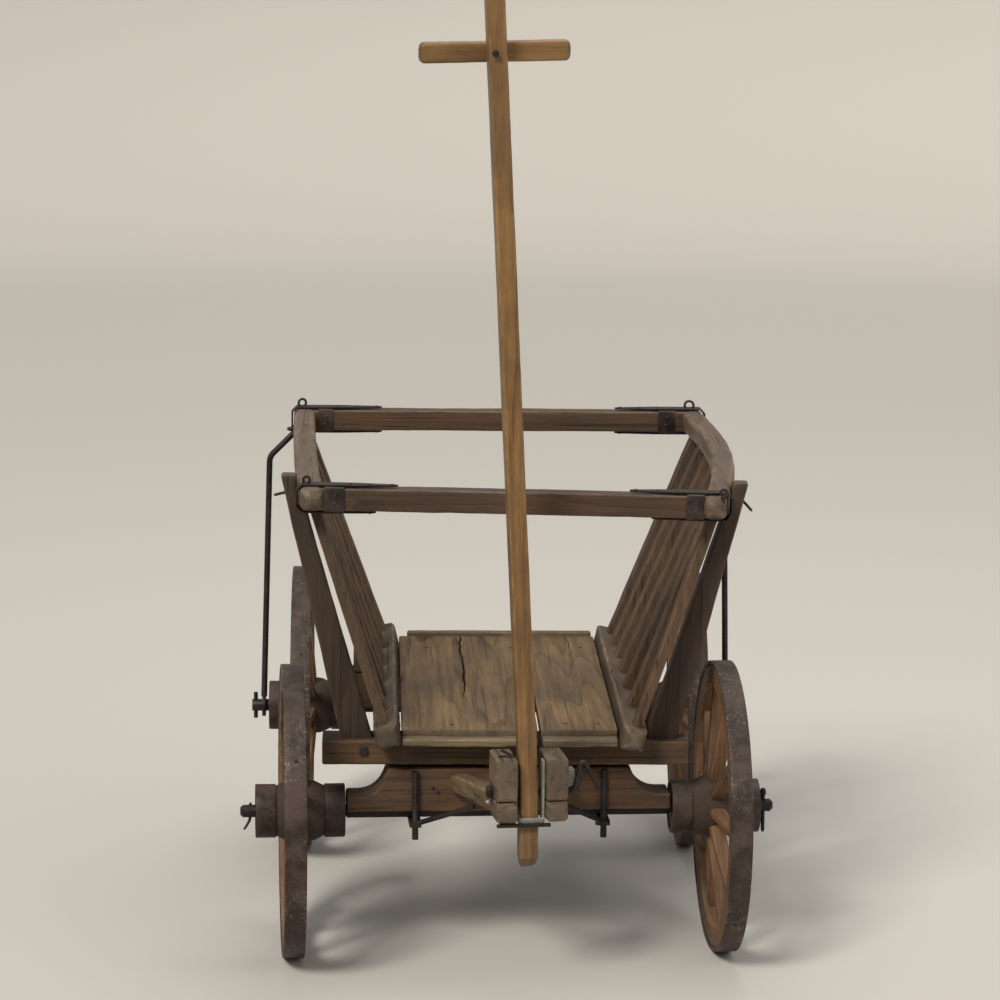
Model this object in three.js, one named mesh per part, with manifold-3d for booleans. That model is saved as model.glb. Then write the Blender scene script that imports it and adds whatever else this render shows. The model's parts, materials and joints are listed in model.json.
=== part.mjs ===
// Ladder-sided hand wagon with four spoked wheels, a turning front axle and an upright tongue.
// Millimetres. +X points to the right seen from the front, +Y to the rear, +Z up.
// Positions are written from the kingpin's foot on the floor; the finished group is then centred.

import * as THREE from "three";
import { mergeVertices } from "three/addons/utils/BufferGeometryUtils.js";
import Module from "manifold-3d";

const wasm = await Module();
wasm.setup();

const DEG = Math.PI / 180;

// Clearances
const FIT = 0.3;
const HINGE_FIT = 0.6;

// Wheels: front pair, rear pair
const FRONT_WHEEL_RADIUS = 223.7;
const REAR_WHEEL_RADIUS = 235.3;
const TYRE_THICKNESS = 6;
const TYRE_WIDTH = 33;
const TYRE_CHAMFER = 1.5;
const FELLOE_DEPTH = 33;
const FELLOE_WIDTH = 30;
const SPOKE_COUNT = 10;
const SPOKE_ROOT = 25;
const SPOKE_TIP = 19;
const SPOKE_ROOT_THICKNESS = 17;
const SPOKE_TIP_THICKNESS = 15;
const SPOKE_TENON = 7;
const HUB_LENGTH = 136;
const HUB_WOOD_RADIUS = 47;
const HUB_END_RADIUS = 38;
const HUB_BAND_RADIUS = 41;
const HUB_BAND_WIDTH = 31;
const HUB_BAND_CHAMFER = 3;
const HUB_SWELL_HALF = 16;
const FELLOE_CHAMFER = 3.5;
const RIM_DISH = 12;
const FRONT_HUB_CENTRE = 318;
const REAR_HUB_CENTRE = 314;
const RIM_SIDES = 60;
const HUB_SIDES = 30;

// Axles
const WHEELBASE = 616;
const AXLE_BAR = 20;
const AXLE_ARM_RADIUS = 10;
const ARM_SIDES = 20;
const BED_END_GAP = 2.5;
const AXLE_BED_DEPTH = 60;
const FRONT_BED_ABOVE_HUB_LINE = 3.3;
const FRONT_BED_HEIGHT = 67.5;
const FRONT_BED_TOP_HALF = 187;
const SHOULDER_RADIUS = 42.5;
const REAR_BED_ABOVE_HUB_LINE = 2;
const FRONT_ARM_END = 409;
const REAR_ARM_END = 411;
const LINCHPIN_RADIUS = 3.5;
const LINCHPIN_LENGTH = 44;
const LINCHPIN_INSET = 6;
const LINCHPIN_SIDES = 8;

// Turning truck
const TRUCK_TURN = 2.76;
const KINGPIN_RADIUS = 8;
const KINGPIN_HEAD_RADIUS = 15;
const KINGPIN_HEAD = 8;
const KINGPIN_NUT_RADIUS = 13;
const KINGPIN_BELOW_HUB_LINE = 27.7;
const RUB_PLATE_RADIUS = 45;
const KINGPIN_SIDES = 24;
const CLIP_X = 144;
const CLIP_ROD_RADIUS = 5;
const CLIP_ROD_SIDES = 10;
const CLIP_BELOW_HUB_LINE = 37.7;
const CLIP_BELOW_BED_TOP = 2.5;
const YOKE_THICKNESS = 7;
const YOKE_WIDTH = 18;
const BRACE_RADIUS = 4;
const BRACE_SIDES = 8;
const BRACE_END_Y = -110;
const BRACE_INSIDE_HOUND = 6;

// Fork on the truck
const FORK_OFFSET = -1.7;
const FORK_SKEW = 4;
const FORK_GAP = 41;
const JAW_WIDTH = 34;
const JAW_FRONT = -242.5;
const JAW_LENGTH = 75;
const JAW_HEIGHT = 63.7;
const HOUND_RISE_TO_JAW = 10;
const HOUND_BELOW_BED_TOP = 6.5;
const HOUND_HEIGHT = 32;
const HOUND_WIDTH = 34;
const HOUND_SPREAD = 73;
const HOUND_REAR = 66;
const HOUND_REAR_SPREAD = 86;

// Tongue
const PIVOT_Y = -210;
const PIVOT_ABOVE_HOUND = 9;
const TONGUE_PIN_RADIUS = 6;
const TONGUE_PIN_SIDES = 16;
const TONGUE_PIN_PROUD = 9;
const TONGUE_PIN_TIP = 1;
const TONGUE_NUT_RADIUS = 10;
const TONGUE_NUT_SIDES = 6;
const POLE_WIDTH = 28;
const POLE_DEPTH = 32;
const POLE_FOOT_BELOW_PIVOT = 117;
const POLE_FOOT_CHAMFER = 4;
const POLE_TIP_CHAMFER = 8;
const POLE_TOP = 1530;
const POLE_SIDE = -1.5;
const POLE_KNEE_ABOVE_PIVOT = 50;
const POLE_KNEE_SIDE = -3.5;
const POLE_TOP_SIDE = -58;
const TONGUE_LEAN = 2.5;
const HANDLE_BELOW_TOP = 142;
const HANDLE_LENGTH = 220;
const HANDLE_HEIGHT = 30;
const HANDLE_DEPTH = 24;
const HANDLE_SHIFT = 1;
const HANDLE_TILT = 1.2;
const HANDLE_END = 5;
const HANDLE_END_SCALE = 0.85;
const STOP_STRAP = 3;
const STOP_WIDTH = 22;
const STOP_BELOW_PIVOT = 40;
const STOP_HEIGHT = 8;
const STOP_BELOW_JAW_TOP = 6;

// Bolsters, reach and bed
const BOLSTER_ABOVE_AXLE_BED = 5.5;
const BOLSTER_HEIGHT = 38;
const BOLSTER_DEPTH = 70;
const FRONT_BOLSTER_LEFT = -284;
const FRONT_BOLSTER_RIGHT = 273;
const REAR_BOLSTER_HALF = 240;
const REACH_WIDTH = 52;
const REACH_THICKNESS = 22;
const REACH_FRONT = -28;
const REACH_OVERHANG = 84;
const BED_THICKNESS = 21.5;
const BED_FRONT = -48;
const BED_SHORT_OF_AXLE = 1;
const BED_SEAM = 45;
const BED_SEAM_GAP = 4;
const BATTEN_DEPTH = 30;
const BATTEN_HEIGHT = 13;
const BATTEN_SHORT_OF_RAIL = 1;
const BATTEN_GAP = 8;
const CLEAT_DEPTH = 14;
const CLEAT_ABOVE_BOARDS = 7;
const CLEAT_LEFT = -150;
const CLEAT_RIGHT = 160;

// Side ladders
const LOWER_RAIL = 39;
const LOWER_RAIL_FRONT = -89;
const LOWER_RAIL_OVERHANG = 14;
const LOWER_RAIL_X = 186;
const LOWER_RAIL_TILT = 12;
const LEFT_RAIL_HOUSING = 1;
const RIGHT_RAIL_HOUSING = 5;
const UPPER_RAIL = 37;
const UPPER_RAIL_FRONT = -101;
const UPPER_RAIL_OVERHANG = 72;
const UPPER_FRONT_X = 299;
const UPPER_REAR_X = 324;
const UPPER_REAR_Z = 720;
const SLAT_COUNT = 7;
const SLAT_WIDTH = 32;
const SLAT_FOOT_THICKNESS = 14;
const SLAT_HEAD_THICKNESS = 17;
const SLAT_FOOT_BEHIND_RAIL_FRONT = 26;
const SLAT_HEAD_BEHIND_BAR = 46;
const LAST_SLAT_BEFORE_AXLE = 34;
const LEFT_SLATS_CROWD = -0.27;
const RIGHT_SLATS_CROWD = 0.25;
const CROSSBAR = 35;
const FRONT_BAR_BEHIND_TIP = 29;
const REAR_BAR_BEHIND_AXLE = 39;
const STRAP_THICKNESS = 2.5;
const STRAP_WIDTH = 26;
const STRAP_REACH = 78;
const STAKE_THICKNESS = 36;
const STAKE_TAPER = 6;
const UPPER_LEFT_FRONT_Z = 720;
const UPPER_RIGHT_FRONT_Z = 709;
const UPPER_LEFT_BOW = 4;
const UPPER_RIGHT_BOW = 33;
const STAKE_FOOT_WIDTH = 49;
const STAKE_TIP_WIDTH = 24;
const STAKE_ABOVE_RAIL = 23;
const STAKE_FOOT_SEAT = 0.5;
const STAKE_TIP_SEAT = 1.5;

// Rear stays
const STAY_RADIUS = 5;
const STAY_SIDES = 12;
const STAY_EYE_RADIUS = 19;
const STAY_EYE_THICKNESS = 6;
const STAY_HUB_GAP = 6;
const STAY_TOP_X = 381;
const STAY_FOOT_SUNK = 4;
const STAY_FOOT_RISE = 22;
const STAY_KNEE_BELOW_RAIL = 58;
const STAY_ELBOW = 9;

// Fineness and rounding
const CURVE_STEPS = 8;
const ELBOW_STEPS = 4;
const RAIL_STEPS = 8;
const RAIL_END = 8;
const RAIL_TIP_SCALE = 0.68;
const LOWER_RAIL_END = 5;
const LOWER_RAIL_TIP_SCALE = 0.86;
const RAIL_CORNER = 9;
const SLAT_CORNER = 2;
const SPOKE_CORNER = 5;
const HOUND_CORNER = 3;
const STAKE_CORNER = 4;
const STAKE_TENON_CLEAR = 6;
const CORNER_LIMIT = 0.999;
const POLE_CORNER = 5;
const HANDLE_CORNER = 5;
const BAR_CORNER = 2;
const STRAP_LIFT = 0.6;
const STRAP_CORNER = 8;
const BORE_LOW = 100;
const BORE_HIGH = 400;
const SLOT_SPARE = 1;

const FRONT_BED_BOTTOM = FRONT_WHEEL_RADIUS + FRONT_BED_ABOVE_HUB_LINE;
const FRONT_BED_TOP = FRONT_BED_BOTTOM + FRONT_BED_HEIGHT;
const KINGPIN_BOTTOM = FRONT_WHEEL_RADIUS - KINGPIN_BELOW_HUB_LINE;
const CLIP_BOTTOM = FRONT_WHEEL_RADIUS - CLIP_BELOW_HUB_LINE;
const CLIP_TOP = FRONT_BED_TOP - CLIP_BELOW_BED_TOP;
const HOUND_TOP_AT_BED = FRONT_BED_TOP - HOUND_BELOW_BED_TOP;
const HOUND_TOP_AT_JAW = HOUND_TOP_AT_BED + HOUND_RISE_TO_JAW;
const JAW_TOP = HOUND_TOP_AT_JAW + FIT + JAW_HEIGHT;
const PIVOT_Z = HOUND_TOP_AT_JAW + PIVOT_ABOVE_HOUND;
const POLE_FOOT = PIVOT_Z - POLE_FOOT_BELOW_PIVOT;
const POLE_KNEE = PIVOT_Z + POLE_KNEE_ABOVE_PIVOT;
const BOLSTER_BOTTOM = FRONT_BED_TOP + BOLSTER_ABOVE_AXLE_BED;
const BED_UNDERSIDE = BOLSTER_BOTTOM + BOLSTER_HEIGHT + FIT;
const BED_TOP = BED_UNDERSIDE + BED_THICKNESS;
const BED_REAR = WHEELBASE - BED_SHORT_OF_AXLE;
const BOARD_REAR = BED_REAR - CLEAT_DEPTH - FIT;
const REACH_REAR = WHEELBASE + REACH_OVERHANG;
const LOWER_RAIL_REAR = WHEELBASE + LOWER_RAIL_OVERHANG;
const UPPER_RAIL_REAR = WHEELBASE + UPPER_RAIL_OVERHANG;
const SLAT_REAR = WHEELBASE - LAST_SLAT_BEFORE_AXLE;
const SLAT_FOOT_FRONT = LOWER_RAIL_FRONT + SLAT_FOOT_BEHIND_RAIL_FRONT;
const FRONT_BAR_Y = UPPER_RAIL_FRONT + FRONT_BAR_BEHIND_TIP;
const REAR_BAR_Y = WHEELBASE + REAR_BAR_BEHIND_AXLE;
const SLAT_HEAD_FRONT = FRONT_BAR_Y + SLAT_HEAD_BEHIND_BAR;
const HANDLE_Z = POLE_TOP - HANDLE_BELOW_TOP;
const STOP_Z = PIVOT_Z - STOP_BELOW_PIVOT;
const JAW_REAR = JAW_FRONT + JAW_LENGTH;

// Side word and side sign
const SIDES = [
  ["left", -1],
  ["right", 1],
];

const paint = {
  axle: { color: 0x4a2f20, roughness: 0.85, metalness: 0 },
  bed: { color: 0x7d6342, roughness: 0.8, metalness: 0 },
  rail: { color: 0x6f5b46, roughness: 0.75, metalness: 0 },
  slat: { color: 0x6a4c30, roughness: 0.8, metalness: 0 },
  stake: { color: 0x4d3524, roughness: 0.8, metalness: 0 },
  pole: { color: 0x9a6a33, roughness: 0.6, metalness: 0 },
  fork: { color: 0x7a6647, roughness: 0.85, metalness: 0 },
  wheel: { color: 0x7a4a25, roughness: 0.8, metalness: 0 },
  tyre: { color: 0x57473d, roughness: 0.7, metalness: 0.6 },
  iron: { color: 0x201c1a, roughness: 0.65, metalness: 0.7 },
};

// Solid helpers
function solid(geometry) {
  const plain = geometry.clone();
  plain.deleteAttribute("normal");
  plain.deleteAttribute("uv");
  const merged = mergeVertices(plain, 1e-4);
  return new wasm.Manifold(
    new wasm.Mesh({
      numProp: 3,
      vertProperties: new Float32Array(merged.attributes.position.array),
      triVerts: new Uint32Array(merged.index.array),
    }),
  );
}

function piece(name, shape, finish) {
  const mesh = shape.getMesh();
  const geometry = new THREE.BufferGeometry();
  geometry.setAttribute("position", new THREE.BufferAttribute(mesh.vertProperties, 3));
  geometry.setIndex(new THREE.BufferAttribute(mesh.triVerts, 1));
  geometry.computeVertexNormals();
  const made = new THREE.Mesh(geometry, new THREE.MeshStandardMaterial(paint[finish]));
  made.name = name;
  return made;
}

function block(low, high) {
  const size = high.map((value, axis) => value - low[axis]);
  const box = new THREE.BoxGeometry(...size);
  box.translate(...low.map((value, axis) => value + size[axis] / 2));
  return solid(box);
}

// Closed loft through rings that all have the same number of points
function loft(rings) {
  const count = rings[0].length;
  const positions = rings.flat().flatMap((point) => point.toArray());
  const index = [];
  for (let ring = 0; ring + 1 < rings.length; ring++) {
    for (let k = 0; k < count; k++) {
      const a = ring * count + k;
      const b = ring * count + ((k + 1) % count);
      index.push(a, b, b + count, a, b + count, a + count);
    }
  }
  const last = (rings.length - 1) * count;
  for (let k = 1; k + 1 < count; k++) {
    index.push(0, k + 1, k);
    index.push(last, last + k, last + k + 1);
  }
  const geometry = new THREE.BufferGeometry();
  geometry.setAttribute("position", new THREE.Float32BufferAttribute(positions, 3));
  geometry.setIndex(index);
  const made = solid(geometry);
  if (made.volume() > 0) return made;
  for (let k = 0; k < index.length; k += 3) {
    [index[k + 1], index[k + 2]] = [index[k + 2], index[k + 1]];
  }
  geometry.setIndex(index);
  return solid(geometry);
}

// Rectangle with cut corners, spanned by two unit directions around a centre
function ring(centre, across, upward, width, height, corner) {
  const w = width / 2;
  const h = height / 2;
  const c = Math.min(corner, w, h) * CORNER_LIMIT;
  const outline = [
    [w - c, -h], [w, -h + c], [w, h - c], [w - c, h],
    [-w + c, h], [-w, h - c], [-w, -h + c], [-w + c, -h],
  ];
  return outline.map(([s, t]) =>
    centre.clone().addScaledVector(across, s).addScaledVector(upward, t),
  );
}

function rod(from, to, radius, sides) {
  const start = new THREE.Vector3(...from);
  const end = new THREE.Vector3(...to);
  const length = start.distanceTo(end);
  const bar = new THREE.CylinderGeometry(radius, radius, length, sides);
  bar.translate(0, length / 2, 0);
  const turn = new THREE.Quaternion().setFromUnitVectors(
    new THREE.Vector3(0, 1, 0),
    end.clone().sub(start).normalize(),
  );
  bar.applyQuaternion(turn);
  bar.translate(...from);
  return solid(bar);
}

// Round bar bent through a list of corners with rounded elbows, lying in one X-Z plane
function bentRod(corners, radius, elbow) {
  const points = corners.map((corner) => new THREE.Vector3(...corner));
  const stations = [points[0]];
  for (let k = 1; k + 1 < points.length; k++) {
    const into = points[k].clone().sub(points[k - 1]).normalize();
    const out = points[k + 1].clone().sub(points[k]).normalize();
    const enter = points[k].clone().addScaledVector(into, -elbow);
    const leave = points[k].clone().addScaledVector(out, elbow);
    stations.push(...new THREE.QuadraticBezierCurve3(enter, points[k], leave).getPoints(ELBOW_STEPS));
  }
  stations.push(points[points.length - 1]);
  const side = new THREE.Vector3(0, 1, 0);
  const rings = stations.map((centre, k) => {
    const before = stations[Math.max(k - 1, 0)];
    const after = stations[Math.min(k + 1, stations.length - 1)];
    const upward = after.clone().sub(before).normalize().cross(side);
    return Array.from({ length: STAY_SIDES }, (_, n) => {
      const angle = (2 * Math.PI * n) / STAY_SIDES;
      return centre
        .clone()
        .addScaledVector(side, radius * Math.cos(angle))
        .addScaledVector(upward, radius * Math.sin(angle));
    });
  });
  return loft(rings);
}

// Flat iron bent along a line in the X-Z plane, extruded along Y
function ribbon(points, thickness, yLow, yHigh) {
  const path = points.map(([x, z]) => new THREE.Vector2(x, z));
  const half = thickness / 2;
  const offsets = path.map((point, k) => {
    const before = k > 0 ? point.clone().sub(path[k - 1]).normalize() : null;
    const after = k + 1 < path.length ? path[k + 1].clone().sub(point).normalize() : null;
    const from = before ?? after;
    const to = after ?? before;
    const normal = new THREE.Vector2(-from.y - to.y, from.x + to.x).normalize();
    const spread = normal.dot(new THREE.Vector2(-from.y, from.x));
    return normal.multiplyScalar(half / spread);
  });
  const left = path.map((point, k) => point.clone().add(offsets[k]));
  const right = path.map((point, k) => point.clone().sub(offsets[k]));
  return plate([...left, ...right.reverse()], yLow, yHigh);
}

// Outline in the X-Z plane, extruded from yLow to yHigh
function plate(outline, yLow, yHigh) {
  const shape = new THREE.Shape(outline);
  const flat = new THREE.ExtrudeGeometry(shape, {
    depth: yHigh - yLow,
    bevelEnabled: false,
    curveSegments: CURVE_STEPS,
  });
  flat.rotateX(90 * DEG);
  flat.translate(0, yHigh, 0);
  return solid(flat);
}

// Solid of revolution about X through the origin, from a list of [x, radius] that starts and ends at a bore
function turned(profile, sides) {
  const lathe = new THREE.LatheGeometry(
    [...profile, profile[0]].map(([x, radius]) => new THREE.Vector2(radius, x)),
    sides,
  );
  lathe.rotateZ(-90 * DEG);
  const made = solid(lathe);
  if (made.volume() > 0) return made;
  const back = new THREE.LatheGeometry(
    [...profile, profile[0]].reverse().map(([x, radius]) => new THREE.Vector2(radius, x)),
    sides,
  );
  back.rotateZ(-90 * DEG);
  return solid(back);
}

const EAST = new THREE.Vector3(1, 0, 0);
const ALONG = new THREE.Vector3(0, 1, 0);
const UP = new THREE.Vector3(0, 0, 1);
const add = (first, ...others) => others.reduce((sum, other) => sum.add(other), first);
const cut = (first, ...others) => others.reduce((rest, other) => rest.subtract(other), first);

const group = new THREE.Group();
const cart = new THREE.Group();
const truck = new THREE.Group();
const fork = new THREE.Group();
const tongue = new THREE.Group();

truck.rotation.z = TRUCK_TURN * DEG;
fork.position.set(FORK_OFFSET, 0, 0);
fork.rotation.z = FORK_SKEW * DEG;
tongue.position.set(0, PIVOT_Y, PIVOT_Z);
tongue.rotation.x = -TONGUE_LEAN * DEG;
cart.add(truck);
truck.add(fork);
fork.add(tongue);

// Wheels, made with the outboard side towards +X and the rim centred on x = 0
function wheelWood(radius) {
  const bore = AXLE_ARM_RADIUS + HINGE_FIT;
  const hubIn = -RIM_DISH - HUB_LENGTH / 2;
  const hubOut = -RIM_DISH + HUB_LENGTH / 2;
  const mid = -RIM_DISH;
  const hub = turned(
    [
      [hubIn, bore],
      [hubIn, HUB_BAND_RADIUS - HUB_BAND_CHAMFER],
      [hubIn + HUB_BAND_CHAMFER, HUB_BAND_RADIUS],
      [hubIn + HUB_BAND_WIDTH, HUB_BAND_RADIUS],
      [hubIn + HUB_BAND_WIDTH, HUB_END_RADIUS],
      [mid - HUB_SWELL_HALF, HUB_WOOD_RADIUS],
      [mid + HUB_SWELL_HALF, HUB_WOOD_RADIUS],
      [hubOut - HUB_BAND_WIDTH, HUB_END_RADIUS],
      [hubOut - HUB_BAND_WIDTH, HUB_BAND_RADIUS],
      [hubOut - HUB_BAND_CHAMFER, HUB_BAND_RADIUS],
      [hubOut, HUB_BAND_RADIUS - HUB_BAND_CHAMFER],
      [hubOut, bore],
    ],
    HUB_SIDES,
  );
  const outer = radius - TYRE_THICKNESS - FIT;
  const inner = outer - FELLOE_DEPTH;
  const half = FELLOE_WIDTH / 2;
  const rim = turned(
    [
      [-half, inner + FELLOE_CHAMFER],
      [-half, outer],
      [half, outer],
      [half, inner + FELLOE_CHAMFER],
      [half - FELLOE_CHAMFER, inner],
      [-half + FELLOE_CHAMFER, inner],
    ],
    RIM_SIDES,
  );
  const spokes = Array.from({ length: SPOKE_COUNT }, (_, k) => {
    const angle = (2 * Math.PI * (k + 0.5)) / SPOKE_COUNT;
    const outward = new THREE.Vector3(0, Math.sin(angle), Math.cos(angle));
    const around = new THREE.Vector3(0, Math.cos(angle), -Math.sin(angle));
    const sideways = new THREE.Vector3(1, 0, 0);
    const root = outward.clone().multiplyScalar(HUB_WOOD_RADIUS - SPOKE_TENON).setX(mid);
    const tip = outward.clone().multiplyScalar(inner + SPOKE_TENON);
    return loft([
      ring(root, around, sideways, SPOKE_ROOT_THICKNESS, SPOKE_ROOT, SPOKE_CORNER),
      ring(tip, around, sideways, SPOKE_TIP_THICKNESS, SPOKE_TIP, SPOKE_CORNER),
    ]);
  });
  return add(rim, hub, ...spokes);
}

function tyre(radius) {
  const half = TYRE_WIDTH / 2;
  const inner = radius - TYRE_THICKNESS;
  return turned(
    [
      [-half, inner],
      [-half, radius - TYRE_CHAMFER],
      [-half + TYRE_CHAMFER, radius],
      [half - TYRE_CHAMFER, radius],
      [half, radius - TYRE_CHAMFER],
      [half, inner],
    ],
    RIM_SIDES,
  );
}

// place, parent group, wheel radius, hub centre, distance to the rear
const wheelPairs = [
  { place: "front", parent: truck, radius: FRONT_WHEEL_RADIUS, hub: FRONT_HUB_CENTRE, y: 0 },
  { place: "rear", parent: cart, radius: REAR_WHEEL_RADIUS, hub: REAR_HUB_CENTRE, y: WHEELBASE },
];
for (const { place, parent, radius, hub, y } of wheelPairs) {
  for (const [word, side] of SIDES) {
    const name = place + "_" + word;
    const wheel = new THREE.Group();
    wheel.position.set(side * (hub + RIM_DISH), y, radius);
    wheel.rotation.z = side > 0 ? 0 : Math.PI;
    wheel.add(piece("wheel_" + name, wheelWood(radius), "wheel"));
    wheel.add(piece("tyre_" + name, tyre(radius), "tyre"));
    parent.add(wheel);
  }
}

// Axle bars: a square bar with round arms and an upright linchpin through each end
function axleBar(radius, armEnd, bedHalf) {
  const half = AXLE_BAR / 2;
  const bar = block([-bedHalf, -half, radius - half], [bedHalf, half, radius + half]);
  const arms = rod([-armEnd, 0, radius], [armEnd, 0, radius], AXLE_ARM_RADIUS, ARM_SIDES);
  const pinX = armEnd - LINCHPIN_INSET;
  const pins = [-1, 1].map((side) =>
    rod(
      [side * pinX, 0, radius - LINCHPIN_LENGTH / 2],
      [side * pinX, 0, radius + LINCHPIN_LENGTH / 2],
      LINCHPIN_RADIUS,
      LINCHPIN_SIDES,
    ),
  );
  return add(bar, arms, ...pins);
}

const frontBedHalf = FRONT_HUB_CENTRE - HUB_LENGTH / 2 - BED_END_GAP;
const rearBedHalf = REAR_HUB_CENTRE - HUB_LENGTH / 2 - BED_END_GAP;

const grownBar = (radius, bedHalf) => {
  const half = AXLE_BAR / 2 + FIT;
  const low = [-bedHalf - SLOT_SPARE, -half, radius - AXLE_BAR];
  return block(low, [bedHalf + SLOT_SPARE, half, radius + half]);
};

// Front axle bed with a hollowed quarter round at each shoulder
const shoulderX = FRONT_BED_TOP_HALF + SHOULDER_RADIUS;
const bedOutline = new THREE.Shape();
bedOutline.moveTo(-frontBedHalf, FRONT_BED_BOTTOM);
bedOutline.lineTo(frontBedHalf, FRONT_BED_BOTTOM);
bedOutline.lineTo(frontBedHalf, FRONT_BED_TOP - SHOULDER_RADIUS);
bedOutline.absarc(shoulderX, FRONT_BED_TOP, SHOULDER_RADIUS, -90 * DEG, -180 * DEG, true);
bedOutline.absarc(-shoulderX, FRONT_BED_TOP, SHOULDER_RADIUS, 0, -90 * DEG, true);
bedOutline.lineTo(-frontBedHalf, FRONT_BED_TOP - SHOULDER_RADIUS);
const bedBlank = plate(bedOutline.getPoints(CURVE_STEPS), -AXLE_BED_DEPTH / 2, AXLE_BED_DEPTH / 2);

// Hounds: the two arms that carry the jaws in front and pass down through the axle bed
const houndTop = (y) => {
  const share = (y - JAW_REAR) / (-AXLE_BED_DEPTH / 2 - JAW_REAR);
  const t = Math.min(Math.max(share, 0), 1);
  return HOUND_TOP_AT_JAW + (HOUND_TOP_AT_BED - HOUND_TOP_AT_JAW) * t;
};
function hound(side, grow) {
  const jawX = FORK_GAP / 2 + JAW_WIDTH / 2;
  // distance to the rear, distance from the fork's centre line
  const stations = [
    { y: JAW_FRONT, x: jawX },
    { y: JAW_REAR, x: jawX },
    { y: -AXLE_BED_DEPTH / 2, x: HOUND_SPREAD },
    { y: HOUND_REAR, x: HOUND_REAR_SPREAD },
  ];
  const rings = stations.map(({ y, x }) =>
    ring(
      new THREE.Vector3(side * x, y, houndTop(y) - HOUND_HEIGHT / 2),
      EAST,
      UP,
      HOUND_WIDTH + 2 * grow,
      HOUND_HEIGHT + 2 * grow,
      HOUND_CORNER,
    ),
  );
  return loft(rings);
}

const inTruck = (shape) =>
  shape.rotate([0, 0, FORK_SKEW]).translate([FORK_OFFSET, 0, 0]);
const houndSlots = [-1, 1].map((side) => inTruck(hound(side, FIT)));

// Kingpin with its head, rub plate and bottom nut
function kingpin() {
  const barBottom = FRONT_WHEEL_RADIUS - AXLE_BAR / 2;
  const headTop = BED_UNDERSIDE - 2 * FIT;
  const pin = turned(
    [
      [KINGPIN_BOTTOM, 0],
      [KINGPIN_BOTTOM, KINGPIN_NUT_RADIUS],
      [barBottom - FIT, KINGPIN_NUT_RADIUS],
      [barBottom - FIT, KINGPIN_RADIUS],
      [FRONT_BED_TOP + FIT, KINGPIN_RADIUS],
      [FRONT_BED_TOP + FIT, RUB_PLATE_RADIUS],
      [BOLSTER_BOTTOM - FIT, RUB_PLATE_RADIUS],
      [BOLSTER_BOTTOM - FIT, KINGPIN_RADIUS],
      [headTop - KINGPIN_HEAD, KINGPIN_RADIUS],
      [headTop - KINGPIN_HEAD, KINGPIN_HEAD_RADIUS],
      [headTop, KINGPIN_HEAD_RADIUS],
      [headTop, 0],
    ],
    KINGPIN_SIDES,
  );
  return pin.rotate([0, -90, 0]);
}

const kingpinHole = rod(
  [0, 0, BORE_LOW],
  [0, 0, BORE_HIGH],
  KINGPIN_RADIUS + HINGE_FIT,
  KINGPIN_SIDES,
);
const headHole = rod(
  [0, 0, BED_UNDERSIDE - KINGPIN_HEAD - 3 * FIT],
  [0, 0, BORE_HIGH],
  KINGPIN_HEAD_RADIUS + HINGE_FIT,
  KINGPIN_SIDES,
);

truck.add(
  piece(
    "axle_bed_front",
    cut(bedBlank, grownBar(FRONT_WHEEL_RADIUS, frontBedHalf), kingpinHole, ...houndSlots),
    "axle",
  ),
);
truck.add(
  piece(
    "axle_bar_front",
    cut(axleBar(FRONT_WHEEL_RADIUS, FRONT_ARM_END, frontBedHalf), kingpinHole),
    "iron",
  ),
);
truck.add(piece("kingpin", kingpin(), "iron"));

// Clips that hold bar and bed together, each with a brace to the fork
for (const [word, side] of SIDES) {
  const clipX = side * CLIP_X;
  const faceY = AXLE_BED_DEPTH / 2 + CLIP_ROD_RADIUS + FIT;
  const yokeTop = FRONT_WHEEL_RADIUS - AXLE_BAR / 2 - FIT;
  const yoke = block(
    [clipX - YOKE_WIDTH / 2, -faceY - YOKE_WIDTH / 2, yokeTop - YOKE_THICKNESS],
    [clipX + YOKE_WIDTH / 2, faceY + YOKE_WIDTH / 2, yokeTop],
  );
  const rods = [-1, 1].map((face) =>
    rod(
      [clipX, face * faceY, CLIP_BOTTOM],
      [clipX, face * faceY, CLIP_TOP],
      CLIP_ROD_RADIUS,
      CLIP_ROD_SIDES,
    ),
  );
  const braceEnd = new THREE.Vector3(side * (HOUND_SPREAD - BRACE_INSIDE_HOUND), BRACE_END_Y, 0)
    .applyAxisAngle(UP, FORK_SKEW * DEG);
  const houndUnderside = houndTop(BRACE_END_Y) - HOUND_HEIGHT;
  const brace = rod(
    [clipX, -faceY, yokeTop - YOKE_THICKNESS / 2],
    [braceEnd.x + FORK_OFFSET, braceEnd.y, houndUnderside - BRACE_RADIUS - FIT],
    BRACE_RADIUS,
    BRACE_SIDES,
  );
  truck.add(piece("axle_clip_" + word, add(yoke, ...rods, brace), "iron"));
}

// Fork pieces, in the fork's own frame
const pinHole = rod(
  [-FORK_GAP - JAW_WIDTH, PIVOT_Y, PIVOT_Z],
  [FORK_GAP + JAW_WIDTH, PIVOT_Y, PIVOT_Z],
  TONGUE_PIN_RADIUS + FIT,
  TONGUE_PIN_SIDES,
);
for (const [word, side] of SIDES) {
  const inner = FORK_GAP / 2;
  const outer = inner + JAW_WIDTH;
  const low = [Math.min(side * inner, side * outer), JAW_FRONT, HOUND_TOP_AT_JAW + FIT];
  const high = [Math.max(side * inner, side * outer), JAW_REAR, JAW_TOP];
  fork.add(piece("jaw_" + word, cut(block(low, high), pinHole), "fork"));
  fork.add(piece("hound_" + word, hound(side, 0), "axle"));
}

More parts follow.
